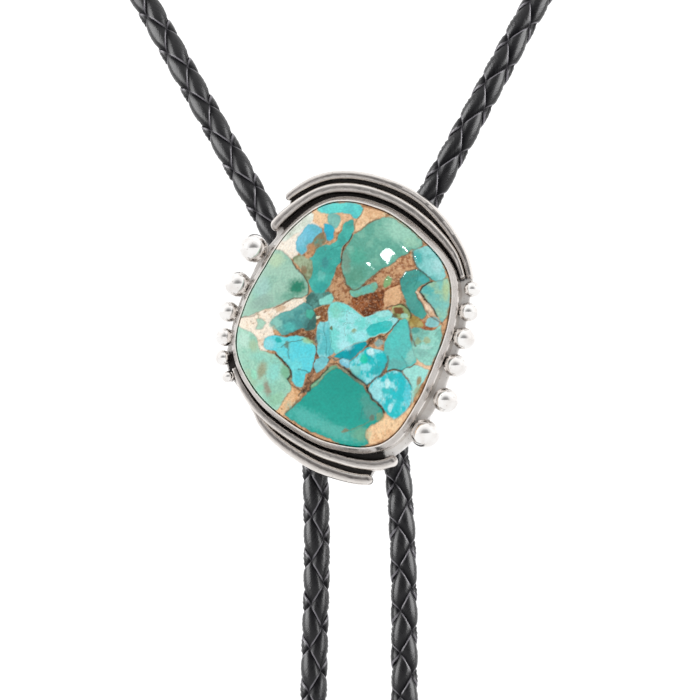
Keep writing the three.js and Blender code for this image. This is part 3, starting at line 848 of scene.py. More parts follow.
def depth_in(x, y, outline):
    """How deep each point lies inside an outline, in pixels, and negative outside."""
    outline = rounded(outline)
    low, high = outline.min(0) - 6, outline.max(0) + 6
    near = (x > low[0]) & (x < high[0]) & (y > low[1]) & (y < high[1])
    depth = np.full(x.shape, -6.0)
    best, inside = from_line(x[near], y[near], outline, True)
    depth[near] = np.where(inside, best, -best)
    return depth


def step(low, high, value):
    """A smooth step from 0 to 1."""
    t = np.clip((value - low) / (high - low), 0, 1)
    return t * t * (3 - 2 * t)


print("a point in the middle of a square is", depth_in(
    np.array([5.0]), np.array([5.0]), [(0, 0), (10, 0), (10, 10), (0, 10)]).round(1), "deep")

# %% [markdown]
# The bronze between the chips isn't one colour: it is copper in the middle and dark rust in a few
# nests. On the left it is cream, with a painted highlight over it where the light wraps round that
# side, and on the upper left a painted reflection of a bright panel lies over cream. These patches
# are laid first, as a painter lays a ground. A row holds two colours, how strongly they marble, and
# the outline.

# %% The chart of the bronze
BRONZE = {
    # Cream bronze under a painted highlight, where the light wraps round the left side.
    "cream_and_highlight_left": ("FFF2E0", "EACBA8", 0.5, [
        (236, 304), (262, 303), (290, 298), (310, 296), (312, 303), (300, 307), (284, 314),
        (272, 322), (273, 332), (274, 338), (266, 342), (267, 351), (257, 350), (250, 336), (236, 328)]),
    # Cream bronze under a painted reflection of a bright panel, at the dome's upper-left edge.
    "cream_and_reflection_top_left": ("FCF4E6", "F4E4CE", 0.4, [
        (274, 250), (280, 240), (290, 232), (300, 224), (314, 212), (320, 226), (305, 232),
        (299, 240), (299, 252), (294, 259), (286, 256)]),
    "copper_centre": ("C69A72", "94603F", 0.9, [
        (331, 262), (342, 256), (350, 284), (358, 287), (372, 278), (400, 256), (414, 252),
        (418, 263), (404, 276), (406, 307), (385, 312), (365, 317), (350, 306), (336, 303),
        (326, 298), (327, 285)]),
    "rust_nest": ("9A5C36", "643823", 0.9, [
        (352, 297), (366, 294), (379, 291), (390, 286), (398, 284), (396, 291), (386, 296),
        (384, 306), (376, 312), (368, 317), (361, 313), (352, 306)]),
    "pale_bronze": ("E3B68A", "C8926A", 0.5, [
        (385, 293), (391, 288), (400, 285), (401, 296), (399, 305), (390, 307), (384, 306)]),
    "bottom_right": ("FAD6AA", "E6B486", 0.7, [
        (365, 442), (366, 430), (377, 420), (383, 410), (395, 418), (409, 408), (415, 402),
        (405, 424), (388, 438), (372, 444)]),
    "stripe": ("EEC294", "CF9562", 0.7, [
        (289, 383), (302, 389), (300, 397), (290, 407), (281, 417), (275, 411), (283, 402), (290, 392)]),
    "top": ("F6D2A8", "DDAC80", 0.7, [
        (360, 207), (372, 209), (385, 213), (384, 219), (370, 225), (358, 233), (351, 240),
        (353, 228), (355, 218)]),
    "top_left": ("F6D0A6", "E0B088", 0.7, [
        (310, 216), (317, 209), (330, 212), (353, 213), (355, 222), (342, 224), (338, 232),
        (322, 228), (313, 222)]),
    "right_vein": ("F2D8BC", "D7A47A", 0.5, [
        (415, 289), (420, 293), (427, 300), (434, 308), (437, 315), (441, 322), (436, 323),
        (429, 317), (425, 309), (419, 301)]),
    "right_notch": ("EFC9A6", "D9A57C", 0.5, [(413, 355), (420, 359), (431, 365), (428, 370), (416, 368)]),
    "brown_band": ("9A6F50", "5E4030", 0.9, [
        (315, 343), (320, 345), (318, 358), (314, 370), (313, 380), (310, 391), (300, 393),
        (305, 382), (308, 372), (312, 360)]),
    "brown_blotch": ("B07C4E", "7C5032", 0.9, [
        (313, 311), (321, 306), (330, 302), (328, 311), (326, 319), (320, 323), (313, 320)]),
    "brown_arch": ("A5734B", "6E4830", 0.9, [
        (284, 335), (296, 329), (305, 329), (313, 333), (319, 339), (320, 347), (314, 346),
        (308, 340), (300, 336), (290, 338)]),
    "red_streak": ("B8744E", "96583A", 0.8, [
        (414, 318), (421, 320), (429, 326), (435, 329), (431, 333), (414, 327)]),
}
print("bronze patches:", len(BRONZE))

# %% [markdown]
# The chips come next. Some are smooth and even, others marbled with a second tone. The last
# number is how strongly a dark line shows round the chip.

# %% The chart of the chips
CHIPS = {
    # Painted reflection: this near-white strip is the dome's upper-left edge mirroring a bright panel, laid
    # in as a chip.
    "reflection_strip": ("EEF4E8", "CBD6C6", 0.8, 0.3, [
        (281, 238), (290, 229), (300, 220), (310, 212), (314, 215), (312, 221), (305, 227),
        (298, 233), (290, 237), (284, 241)]),
    "top_bar": ("5FD9D2", "4CBFC4", 0.5, 0.5, [
        (317, 210), (321, 206), (328, 204), (338, 202.6), (350, 202.6), (357, 203.6), (363, 208),
        (361, 214), (358, 218), (354, 218.5), (350, 214.5), (343, 213), (336, 212.5), (329, 214),
        (322, 213.5)]),
    "small_grey": ("7FBFB4", "63AFA8", 0.4, 0.3, [
        (329, 214), (336, 213), (340, 218), (339, 225), (335, 229), (330, 226), (327, 220)]),
    "deep_blue": ("2DB4CC", "1C93AE", 0.4, 0.5, [
        (324, 224), (330, 224), (334, 228), (334, 237), (330, 241), (326.5, 240), (324.5, 233)]),
    "sky_blue": ("6CC3DA", "58B2BE", 0.5, 0.3, [
        (308, 224), (315, 225), (321, 229), (322, 236), (317, 241), (312, 243), (308, 248),
        (304, 254), (301, 255), (297, 250), (296, 243), (298, 237), (302, 232)]),
    "speckled_green": ("4F9C8E", "8A7A58", 1.0, 0.0, [
        (316, 236), (322, 233), (326, 241), (320, 247), (313, 251), (308, 252), (312, 244)]),
    "teal_river": ("48B8AC", "36A096", 0.6, 0.4, [
        (345, 223), (353, 220), (354, 227), (352, 237), (346, 243), (342, 248), (340, 256),
        (341, 262), (336, 267), (334, 274), (332, 281), (329, 286), (326, 291), (321, 295),
        (316, 293), (311, 288), (309, 281), (311, 272), (312, 264), (309, 259), (313, 256),
        (316, 249), (322, 246), (330, 244), (336, 241), (340, 233)]),
    "olive_bit": ("A5B695", "7E8A66", 1.0, 0.2, [
        (292, 258), (299, 255), (306, 258), (312, 262), (313, 270), (311, 278), (308, 281),
        (303, 274), (299, 267), (295, 263)]),
    "sage_left": ("A3CDB8", "84B8A4", 0.5, 0.8, [
        (275, 249), (282, 251), (288, 256), (293, 263), (297, 269), (303, 275), (307.5, 282),
        (309, 289), (307, 295), (303, 297.5), (294, 298), (287, 301), (280, 304), (272, 307),
        (265, 309), (256, 312), (249, 316), (240, 317), (243, 307), (248, 296), (253, 284),
        (259, 272), (263, 265), (268, 256), (272, 251)]),
    "diamond": ("AFD8C2", "96C6B0", 0.3, 0.7, [
        (256.5, 319), (262, 319), (266.5, 323), (262.5, 328), (256, 329), (257.5, 324)]),
    "grey_teal_rock": ("5C9B92", "3E6E66", 1.0, 0.0, [
        (306, 299), (312, 291), (318, 293), (330, 292), (333, 300), (322, 305), (314, 309),
        (317, 318), (314, 330), (306, 330), (303, 322), (308, 312)]),
    "teal_left": ("62AFA9", "43908F", 0.8, 0.6, [
        (270, 322), (275, 317), (281, 313), (290, 310), (298, 306), (304, 303), (310, 304),
        (313, 308), (312, 315), (309, 321), (307, 328), (301, 328), (296, 331), (289, 334),
        (281, 335), (278, 331), (274, 326)]),
    "green_chip_mid": ("4DB5A0", "3AA08E", 0.3, 0.5, [
        (307, 309), (312, 309), (315, 313), (311, 319), (306, 317)]),
    "bright_left": ("5BD8E4", "74DFE0", 0.6, 0.6, [
        (265, 338), (272, 336), (280, 336), (288, 337), (296, 336), (303, 337), (310, 341),
        (316, 346), (316, 354), (313, 364), (311, 371), (306, 374), (304, 381), (302, 387),
        (297, 387), (292, 381), (292.5, 374), (289, 367), (284, 361), (279, 356), (274, 351),
        (266, 350), (264, 344)]),
    "mint_lower_left": ("A6D9C2", "8CC8B0", 0.7, 0.5, [
        (237, 325), (244, 330), (252, 333), (256, 337), (258, 344), (261, 350), (268, 352.5),
        (274, 355), (280, 360), (285, 365), (289, 370), (291, 376), (288, 379), (290, 383),
        (291, 389), (287, 395), (282, 402), (278, 410), (272, 408), (264, 402), (256, 394),
        (248, 385), (242, 376), (238, 366), (235, 355), (235, 340)]),
    "mid_column": ("62C6CC", "8EDCE0", 0.9, 0.3, [
        (317, 326), (321, 322), (327, 321), (331, 318), (337, 322), (339, 334), (338, 346),
        (333, 354), (327, 358), (321, 359), (317, 352), (318, 342), (316, 334)]),
    "mid_foot": ("86D6DC", "66BFC8", 0.6, 0.5, [
        (316, 360), (322, 357), (329, 359), (328, 364), (322, 369), (316, 373), (314, 366)]),
    "pale_wedge": ("8EDDD0", "74CCC0", 0.4, 0.4, [
        (319, 300), (331, 293), (333.5, 298), (331, 303.5), (321, 304)]),
    "central_pale": ("7ADFD8", "A9EEF0", 0.8, 0.3, [
        (331, 303), (340, 302), (350, 306), (356, 311), (364, 317), (372, 315), (379, 311),
        (387, 310), (392, 314), (399, 320), (393, 327), (388, 332), (378, 335), (370, 338),
        (364, 342), (356, 343), (349, 346), (342, 350), (336, 354), (332, 348), (330, 336),
        (329, 322), (327, 312)]),
    "bright_tongue": ("36C3C0", "52D0CC", 0.6, 0.0, [
        (366, 331), (370, 325), (379, 322), (390, 321), (393, 325), (387, 331), (378, 334), (370, 336)]),
    "olive_rim": ("BCCB8C", "8FA06A", 0.9, 0.5, [
        (392, 307), (400, 304), (407, 306), (411, 313), (410, 322), (404, 319), (396, 318), (393, 313)]),
    "dark_streak": ("00A6B2", "088C98", 0.6, 0.4, [
        (334, 356), (340, 352), (348, 347), (357, 343.5), (365, 342), (367, 345), (362, 350),
        (356, 355), (350, 361), (344, 360), (338, 358)]),
    "blue_bit": ("7CCBE0", "A9E3EA", 0.8, 0.5, [(341, 359), (350, 361), (350, 368), (345, 367), (340, 363)]),
    "marble_mid": ("9BE8EE", "14BFC4", 1.0, 0.6, [
        (350, 362), (357, 356), (363, 351), (368, 347), (376, 349), (384, 351), (388, 357),
        (386, 365), (382, 372), (377, 377), (371, 382), (367, 385), (361, 382), (356, 377), (350, 369)]),
    "plain_teal": ("58C9C2", "58B6B2", 0.4, 0.4, [
        (398, 322), (404, 319), (409, 322), (411, 331), (411, 341), (413, 350), (416, 357),
        (415, 364), (409, 366), (403, 371), (395, 369), (387, 371), (388, 361), (384, 352),
        (384, 344), (388, 336), (392, 330)]),
    "marble_right": ("A4ECF0", "14C4CC", 1.0, 0.8, [
        (368, 389), (371, 383), (377, 378), (382, 376.5), (387, 373), (392, 371), (398, 371),
        (403, 375), (408, 381), (412, 389), (411, 398), (409, 406), (405, 412), (400, 416),
        (395, 419), (390, 417), (385, 411), (381, 405), (375, 401), (371, 397), (368.5, 392)]),
    "right_low": ("A3E6DC", "86D2C8", 0.5, 0.4, [
        (403, 371), (409, 367), (415, 365.5), (421, 367), (429, 370), (426, 377), (422, 384),
        (418, 391), (414, 397), (411, 403), (412, 390), (409, 381)]),
    "right_mid": ("96D8C8", "76BCAE", 0.8, 0.5, [
        (412, 336), (411, 329), (418, 327), (427, 330), (434, 330), (440, 325), (442, 332),
        (440, 345), (436, 355), (431, 365), (425, 365), (419, 360), (415, 357), (412, 348)]),
    "olive_gold": ("B7A765", "A08444", 0.8, 0.4, [
        (410, 317), (414, 315), (419, 319), (424, 326), (416, 328), (410, 325)]),
    "right_small": ("93CFCF", "7CBDBE", 0.5, 0.5, [
        (425, 324), (428, 318), (434, 316.5), (439, 320), (438, 326), (431, 327), (426, 326)]),
    "right_a": ("8FD6D3", "46AFA9", 0.5, 0.7, [
        (413, 254), (415, 250), (420, 248), (427, 245.5), (432, 247), (437, 253), (442, 262),
        (444.5, 270), (445, 277), (442, 281), (436, 281.5), (431, 279), (426, 275), (420, 271),
        (416, 266), (413.5, 260)]),
    "right_b": ("4FA79B", "3D948C", 0.6, 0.6, [
        (400, 280), (405, 273), (411, 269.5), (417, 269), (422, 272), (428, 277), (430, 281),
        (424, 284), (418, 288), (415, 292), (417, 297), (421, 302), (425, 308), (427, 314),
        (422, 319), (415, 316), (410, 311), (407, 305), (404, 298), (402, 290)]),
    "right_c": ("7CC6BE", "A9CDA6", 0.6, 0.9, [
        (420, 292), (422, 287), (427, 283.5), (433, 281.5), (441, 281), (447, 279), (450, 287),
        (450, 298), (449, 308), (446, 318), (442, 323), (438, 317), (434, 312), (432, 306),
        (427, 300), (422, 296)]),
    "big_green": ("62AC98", "8CC9B2", 0.4, 0.9, [
        (342, 258), (341.5, 266), (343.5, 275), (347, 284), (352, 288.5), (358, 288), (363, 284),
        (368, 279.5), (375, 274.5), (380, 270), (387, 266.5), (394, 262), (401, 257), (408, 254),
        (412, 250), (417, 248.5), (422, 245), (421, 241), (417, 237), (411, 231), (404, 226),
        (398, 221), (390, 218), (384, 217.5), (378, 219), (370, 223), (362, 228), (356, 233),
        (351, 240), (347, 246), (343.5, 251)]),
    "bottom_green_edge": ("7FB98E", "A9C096", 0.7, 0.5, [
        (309, 391), (312, 384), (318, 379), (326, 370), (332, 366), (338, 367), (336, 372),
        (326, 378), (318, 384), (314, 391)]),
    "big_bottom": ("0AA394", "069A8C", 0.4, 0.9, [
        (303, 397), (308, 391), (316, 386), (322, 379), (331, 370), (337, 368), (343, 371),
        (350, 376), (357, 382), (364, 387), (367.5, 393), (371, 399), (377, 404), (382, 410),
        (383, 416), (379, 421), (371, 426), (366, 431), (366, 438), (368, 444), (358, 447),
        (346, 446), (334, 441), (322, 436), (310, 431), (300, 425), (290, 419), (285, 414),
        (291, 409), (297, 403)]),
    "green_bit_left": ("6FBFB2", "82B894", 0.8, 0.5, [
        (350, 291), (356, 287), (362, 286), (369, 285), (375, 282), (378, 287), (374, 292),
        (366, 294), (358, 297), (352, 296)]),
    "green_bit_right": ("86B27A", "74A06E", 0.7, 0.4, [
        (384, 281), (388, 276), (392, 279), (389, 285), (384, 288)]),
}
print("chips:", len(CHIPS))

# %% [markdown]
# Real chips change tone across themselves. Soft spots bring in the deep green heart of the left
# chip, the pale edge of the big one, the teal pools of the marbled ones and the brown stains.
# A row gives the middle, the two radii, the tilt in degrees, the colour and the strength.

# %% The chart of the spots
SPOTS = {
    "sage heart": (297, 287, 10, 9, 0, "1E8266", 1.0),
    "sage heart tail": (289, 296, 9, 5, -10, "4B9C84", 0.6),
    "sage pale top": (276, 260, 8, 9, 60, "BDD8B4", 0.8),
    "sage mint side": (257, 292, 5, 9, 20, "86C8AC", 0.6),
    "sage cool side": (262, 288, 8, 12, 25, "A6D3CC", 0.7),
    "sage grey foot": (262, 302, 13, 6, -20, "93B5A8", 0.8),
    "river dark pit": (325, 262, 4, 6, 0, "3D8F90", 0.7),
    "river light": (321, 276, 4, 5, 0, "7DCFC4", 0.5),
    "river low": (321, 288, 8, 6, 0, "2CA3A0", 0.5),
    "olive brown": (304, 270, 4, 5, 0, "8A7250", 0.8),
    "sky brown": (311, 248, 5, 5, 0, "C08E62", 0.9),
    "sky light": (302, 240, 5, 8, 20, "86CFE2", 0.6),
    "big green cool": (358, 256, 9, 9, 0, "4DAE96", 0.7),
    "big green grey": (346, 262, 5, 12, 0, "7A9A88", 0.8),
    "big green foot": (356, 276, 12, 9, -30, "5A9A82", 0.7),
    "big green pale": (402, 232, 22, 12, 32, "A2D6C0", 0.85),
    "big green end": (412, 243, 9, 6, 20, "9CCFB4", 0.8),
    "rock dark": (309, 324, 6, 7, 0, "2F5E5C", 0.6),
    "teal left pale": (276, 323, 7, 7, 0, "8ECDBF", 0.9),
    "teal left bright": (290, 327, 8, 5, 0, "52C4BE", 0.7),
    "bright lobe": (269, 344, 6, 7, 0, "96E2E8", 0.9),
    "bright deep bit": (278, 340, 4, 3, 0, "17B4B4", 0.95),
    "bright olive": (308, 341, 7, 3, 20, "A8D29A", 0.8),
    "bright brown": (287, 345, 3, 4, 0, "6F7E66", 0.8),
    "bright tail": (298, 378, 5, 9, 0, "48CAD6", 0.7),
    "mint upper": (244, 340, 7, 10, 0, "C6ECDA", 0.85),
    "mint olive": (253, 346, 5, 8, -20, "AECBA6", 0.8),
    "mint cool": (262, 357, 14, 5, 10, "96D8C6", 0.8),
    "mint lobe": (274, 372, 8, 12, 10, "8EDCD0", 0.85),
    "mint brown": (262, 370, 5, 10, 8, "9C9C7C", 0.85),
    "mint brown low": (267, 389, 4, 9, -12, "9A8E7C", 0.85),
    "mint green edge": (286, 373, 5, 9, -20, "74B68C", 0.75),
    "mint green foot": (277, 399, 10, 6, -40, "8EC4A0", 0.7),
    "mint left low": (250, 378, 6, 12, -28, "A2C8A6", 0.7),
    "mint chip": (254, 374, 3.5, 5, 0, "9BE3C4", 0.8),
    "mint chip low": (260, 388, 4, 4, 0, "8FD6B8", 0.8),
    "pale pit": (354, 331, 3, 2.5, 0, "9AA77C", 0.85),
    "pale pit left": (331.5, 328, 1.6, 2.2, 0, "6B6A40", 0.9),
    "pale white": (345, 346, 8, 5, 0, "B6F2F6", 0.9),
    "pale white right": (360, 336, 9, 6, -20, "A6EEF2", 0.8),
    "pale green left": (336, 312, 7, 9, 0, "86D6C0", 0.7),
    "pale upper right": (383, 314, 9, 4, 0, "A8E8E4", 0.8),
    "column dark": (318, 336, 3, 8, 0, "43A9AE", 0.6),
    "rim brown": (399, 311, 6, 4, 20, "7A4A2C", 0.95),
    "rim brown left": (395, 316, 3, 2.5, 0, "5E4A2A", 0.8),
    "rim pale": (404, 316, 4, 3, 0, "A6E4D4", 0.7),
    "nest brown": (371, 341, 5, 3.4, -40, "7E5438", 0.95),
    "nest brown right": (382, 338, 4.5, 3, 20, "6A4E36", 0.9),
    "nest grey": (379, 343, 5, 4, 0, "6FAFB2", 0.8),
    "marble pool": (380, 357, 6, 5, 20, "08C6CC", 0.95),
    "marble green pool": (364, 359, 4, 5, 0, "14CFAE", 0.9),
    "marble low pool": (376, 371, 6, 4, -35, "10AFB4", 0.9),
    "marble white": (371, 352, 4, 4, 0, "CFF8FA", 0.9),
    "marble white low": (365, 367, 6, 4, 0, "A2EEF2", 0.7),
    "marble soft left": (356, 371, 5, 6, 20, "84D8D0", 0.7),
    "right pool": (401, 384, 4, 14, 0, "0CC2CA", 0.95),
    "right pool low": (398, 405, 4, 8, 12, "0CC6CC", 0.95),
    "right pool left": (386, 391, 6, 3, 15, "10C0C2", 0.9),
    "right pool top": (391, 377, 4, 4, 0, "1CC0C4", 0.8),
    "right white": (387, 383, 3.5, 6, 0, "D2FAFA", 0.8),
    "right white low": (390, 409, 2.4, 4, 10, "C6F6FA", 0.7),
    "right pale": (376, 392, 6, 7, 0, "96DCE0", 0.8),
    "right edge": (407, 394, 3, 14, 6, "56CFDC", 0.8),
    "teal cool": (395, 341, 6, 9, 0, "4FCCC6", 0.7),
    "teal grey foot": (397, 364, 12, 6, 0, "62B0AA", 0.8),
    "teal pale edge": (411, 356, 5, 9, 15, "96D2C4", 0.8),
    "low brown": (418.5, 381, 2.6, 5, 12, "A08A64", 0.95),
    "low olive": (417, 391, 3, 7, 22, "A7A878", 0.7),
    "mid teal": (415, 331, 4, 3.4, 0, "4FA096", 0.9),
    "mid olive": (427, 341, 4, 4, 0, "A9B486", 0.8),
    "mid olive left": (418, 341, 3.4, 4, 0, "97A06C", 0.7),
    "mid pale": (425, 347, 7, 2.4, 0, "B2E6DC", 0.8),
    "mid grey foot": (422, 353, 7, 4, 20, "7EB8AE", 0.7),
    "a deep side": (418, 257, 5, 9, -20, "3EB0AC", 0.9),
    "a pale side": (437, 266, 6, 9, -20, "A9DEDD", 0.8),
    "b light": (422, 279, 6, 4, 20, "4FB4B4", 0.8),
    "b low": (413, 304, 7, 9, -20, "5AA69C", 0.6),
    "c left": (428, 291, 6, 6, 0, "52B7B4", 0.8),
    "c green edge": (446, 290, 4, 12, 0, "B4CE9C", 0.9),
    "c low": (442, 308, 6, 9, 0, "7CC8C0", 0.7),
    "bottom heart": (342, 385, 22, 17, 10, "009C8E", 0.9),
    "bottom pale left": (308, 418, 24, 9, 25, "4FB9AE", 0.95),
    "bottom pale": (335, 431, 24, 8, 18, "56B9AC", 0.9),
    "bottom streak": (341, 424, 8, 2.4, 8, "17A697", 0.8),
    "bottom green right": (360, 434, 10, 8, 0, "6FB093", 0.85),
    "bottom grey right": (371, 412, 9, 9, -30, "5A9C90", 0.85),
    "bottom brown": (372, 418, 3, 3, 0, "6E7060", 0.8),
    "bottom side": (366, 402, 6, 10, -20, "4A9E90", 0.8),
    "bottom olive": (380, 417, 4, 5, 0, "8A9C72", 0.7),
    "bottom brown line": (345, 431, 4, 1.8, -20, "8A7A5C", 0.85),
    "peach": (280, 308, 6, 4, -15, "CDA67E", 0.7),
    "white dot": (318, 317, 2, 1.8, 0, "E2EBCC", 0.9),
}
print("spots:", len(SPOTS))

# %% [markdown]
# Thin dark lines run where chips meet. They are drawn last, each with its own width in pixels
# and its own strength.

# %% The chart of the dark lines
CRACKS = {
    "river and big green": (1.1, 1.0, "1F2A24", [
        (353, 235), (349, 241), (344, 247), (341.5, 254), (341, 262)]),
    "big green foot": (1.1, 0.8, "5A4330", [
        (343, 276), (346, 284), (351, 289), (358, 289), (364, 285), (372, 278), (380, 272)]),
    "big green top": (1.1, 0.7, "6A4C34", [(353, 234), (360, 229), (369, 223.5), (378, 219)]),
    "sage edge": (0.9, 0.8, "4A3A2A", [(292, 261), (297, 269), (304, 276), (308.5, 284), (308, 293)]),
    "sage foot": (0.9, 0.8, "6A523A", [(302, 298), (293, 298), (287, 301.5), (280, 305), (273, 308)]),
    "sage rim": (1.0, 0.6, "6B6455", [(240, 317), (250, 317), (258, 312)]),
    "mint edge": (1.5, 1.0, "15201A", [
        (275, 354), (281, 359), (286, 364), (290, 370), (291.5, 375), (287.5, 379.5)]),
    "mint foot": (1.1, 0.8, "3E2E22", [(287.5, 379.5), (291, 385), (296, 388), (301, 390)]),
    "bright fork": (0.8, 0.8, "4A6A62", [(281, 347), (287, 344), (294, 341), (303, 340)]),
    "bright fork low": (0.8, 0.7, "4E7068", [(288, 345), (288, 353), (289, 358)]),
    "bright foot": (0.9, 0.7, "2E5450", [(298, 369), (304, 371), (310, 372)]),
    "bottom top": (1.3, 0.9, "2E2A1E", [
        (299, 395), (302, 391.5), (309, 391), (311, 385), (317, 380), (325, 371), (328, 367)]),
    "bottom right": (1.8, 1.0, "1D1712", [
        (344, 367), (351, 373), (358, 379), (366, 385), (368, 391), (372, 398), (378, 403), (384, 412)]),
    "bottom left": (0.9, 0.6, "4E5A44", [(301, 396), (296, 403), (290, 409), (286, 413)]),
    "marble foot": (1.2, 0.9, "242019", [
        (367, 385), (372, 381), (379, 376), (386, 372), (394, 369.5), (401, 371.5)]),
    "marble side": (1.4, 0.8, "4F5E58", [(380, 376), (384, 370), (388, 361), (388, 357)]),
    "low line": (0.9, 0.8, "2E4A48", [(401, 371.5), (406, 378), (411, 386)]),
    "low line top": (0.8, 0.6, "3E5A54", [(402, 371), (408, 367), (415, 365)]),
    "teal top": (1.0, 0.9, "3A3226", [
        (367, 346), (371, 341), (376, 337), (384, 336), (391, 329), (399, 321)]),
    "teal scratch": (0.7, 0.6, "4A7C78", [(402, 356), (405, 361), (407, 368)]),
    "rim line": (1.0, 0.9, "2E2A1C", [(387, 308), (395, 305), (403, 305), (409, 310), (411, 318)]),
    "teal right": (1.2, 0.8, "6A4A34", [(409, 322), (410, 331), (412, 338), (416, 346)]),
    "c left line": (1.3, 1.0, "241C16", [
        (431, 282), (424, 286), (420, 291), (423, 297), (429, 303), (433, 310), (437, 316)]),
    "c left line low": (1.0, 0.8, "6A4A36", [
        (415, 293), (420, 301), (425, 308), (431, 316), (438, 321), (443, 325)]),
    "a edge": (1.1, 0.8, "2E4A44", [(413, 252), (413.5, 261), (418, 268), (425, 274), (431, 279)]),
    "b edge": (0.9, 0.7, "35524A", [(400, 281), (405, 273), (413, 269), (420, 270)]),
    "b crease": (0.7, 0.6, "2A7A74", [(418, 274), (417, 281), (414, 287)]),
    "river crack": (0.7, 0.5, "1E6E68", [(340, 246), (334, 248), (330, 250)]),
    "bottom crack": (0.8, 0.5, "2E7C74", [(362, 407), (361, 414), (359, 420)]),
    "bottom brown crack": (0.9, 0.6, "6A7A5C", [(344, 432), (352, 429), (362, 425), (372, 420)]),
    "column crack": (0.7, 0.6, "3A7C80", [(324, 322), (324, 334), (327, 344), (326, 356)]),
    "column crack right": (0.7, 0.5, "4A8C8E", [(330, 330), (332, 342), (329, 354), (335, 360)]),
    "streak foot": (1.0, 0.8, "1E4C4E", [(328, 363), (332, 358), (338, 360), (343, 358)]),
    "brown foot": (1.6, 0.8, "4E3A2C", [(330, 365), (338, 364), (343, 368)]),
    "diamond line": (0.8, 0.6, "6E8A74", [(258, 313), (259, 318)]),
    "top line": (0.8, 0.7, "6A5A40", [(363, 209), (361, 215), (356, 221), (354, 229)]),
    "green spark": (0.8, 0.5, "6C5A3A", [(297, 331), (288, 334), (280, 336)]),
}
print("dark lines:", len(CRACKS))

# %% [markdown]
# Now the chart is painted onto the dome's points. Each point ends up with a colour, with how much
# it is bronze rather than stone, and with how deep it sits in a dark line. The bronze lies a hair
# lower than the chips, because it is softer and polishes away faster.

# %% Painting the dome
WOBBLE = 0.8
SOFT_EDGE = 0.55
nudge_x = WOBBLE * (uneven(photo_x, photo_y, 5, 201) + 0.5 * uneven(photo_x, photo_y, 2, 202))
nudge_y = WOBBLE * (uneven(photo_x, photo_y, 5, 203) + 0.5 * uneven(photo_x, photo_y, 2, 204))
chart_x, chart_y = photo_x + nudge_x, photo_y + nudge_y
marble_broad = uneven(photo_x, photo_y, 9, 205) + 0.5 * uneven(photo_x, photo_y, 4, 206)
marble_fine = uneven(photo_x, photo_y, 2.2, 207) + 0.6 * uneven(photo_x, photo_y, 1.1, 208)
vein_field = uneven(photo_x, photo_y, 11, 209) + 0.5 * uneven(photo_x, photo_y, 5, 210) + 0.2 * marble_fine


def marbled(main, second, strength, fine=0.35):
    """Two chart colours, marbled at every point of the dome."""
    streaks = 0.5 + 0.7 * marble_broad + fine * marble_fine * strength
    mix = step(0.5 - 0.4 * strength, 1.3 - 0.4 * strength, streaks)
    mix = (0.25 + 0.75 * strength) * mix
    return np.array(chart(main)) * (1 - mix[:, None]) + np.array(chart(second)) * mix[:, None]


def painted(colour, over, cover):
    """One colour laid over another."""
    return colour * (1 - cover[:, None]) + over * cover[:, None]


colour = marbled("D2A37A", "A0704A", 0.8, 0.8)
bronze = np.ones(len(colour))
dark = np.zeros(len(colour))
for main, second, strength, outline in BRONZE.values():
    cover = step(-SOFT_EDGE, SOFT_EDGE, depth_in(chart_x, chart_y, outline))
    colour = painted(colour, marbled(main, second, strength, 0.9), cover)
colour = painted(colour, np.array(chart("7A4A2C")), 0.5 * step(0.75, 1.25, marble_fine))
colour = painted(colour, np.array(chart("F0C596")), 0.35 * step(0.7, 1.3, -marble_fine))
for main, second, strength, rim, outline in CHIPS.values():
    depth = depth_in(chart_x, chart_y, outline)
    cover = step(-SOFT_EDGE, SOFT_EDGE, depth)
    colour = painted(colour, marbled(main, second, strength), cover)
    vein = np.exp(-(vein_field / 0.035) ** 2) * step(0.5, 0.9, strength + 0.25 * marble_broad)
    colour = painted(colour, np.array(chart("6A5A40")), 0.45 * cover * vein)
    bronze *= 1 - cover
    dark *= 1 - cover * 0.8
    dark = np.maximum(dark, 0.75 * rim * np.exp(-((depth + 0.2) / 0.65) ** 2))
for x, y, wide, high, tilt, code, strength in SPOTS.values():
    turn = math.radians(tilt)
    u = (chart_x - x) * math.cos(turn) + (chart_y - y) * math.sin(turn)
    v = (chart_y - y) * math.cos(turn) - (chart_x - x) * math.sin(turn)
    far = np.hypot(u / wide, v / high) + 0.18 * marble_fine
    soft = 0.35 if max(wide, high) < 7 else 0.6
    colour = painted(colour, np.array(chart(code)), strength * step(1 + soft / 2, 1 - soft, far))
print("bronze covers", round(float(bronze.mean()) * 100), "% of the dome")

# %% Drawing the dark lines
LINE_INK = np.array(chart("3B2E24"))
colour = painted(colour, LINE_INK, 0.6 * dark)
for width, strength, code, points in CRACKS.values():
    far, _ = from_line(chart_x, chart_y, glide(points, 5), False)
    cover = strength * np.exp(-(far / (0.72 * width)) ** 2)
    colour = painted(colour, np.array(chart(code)), cover)
    dark = np.maximum(dark, cover)
print("points in a dark line:", int((dark > 0.5).sum()))

# %% [markdown]
# The stone is closed below the rim, where the bezel hides it: a skirt goes down the wall and a
# flat base closes it. The relief is a few hundredths of a millimetre, enough to break a
# reflection where a chip ends, as it breaks in the photo.

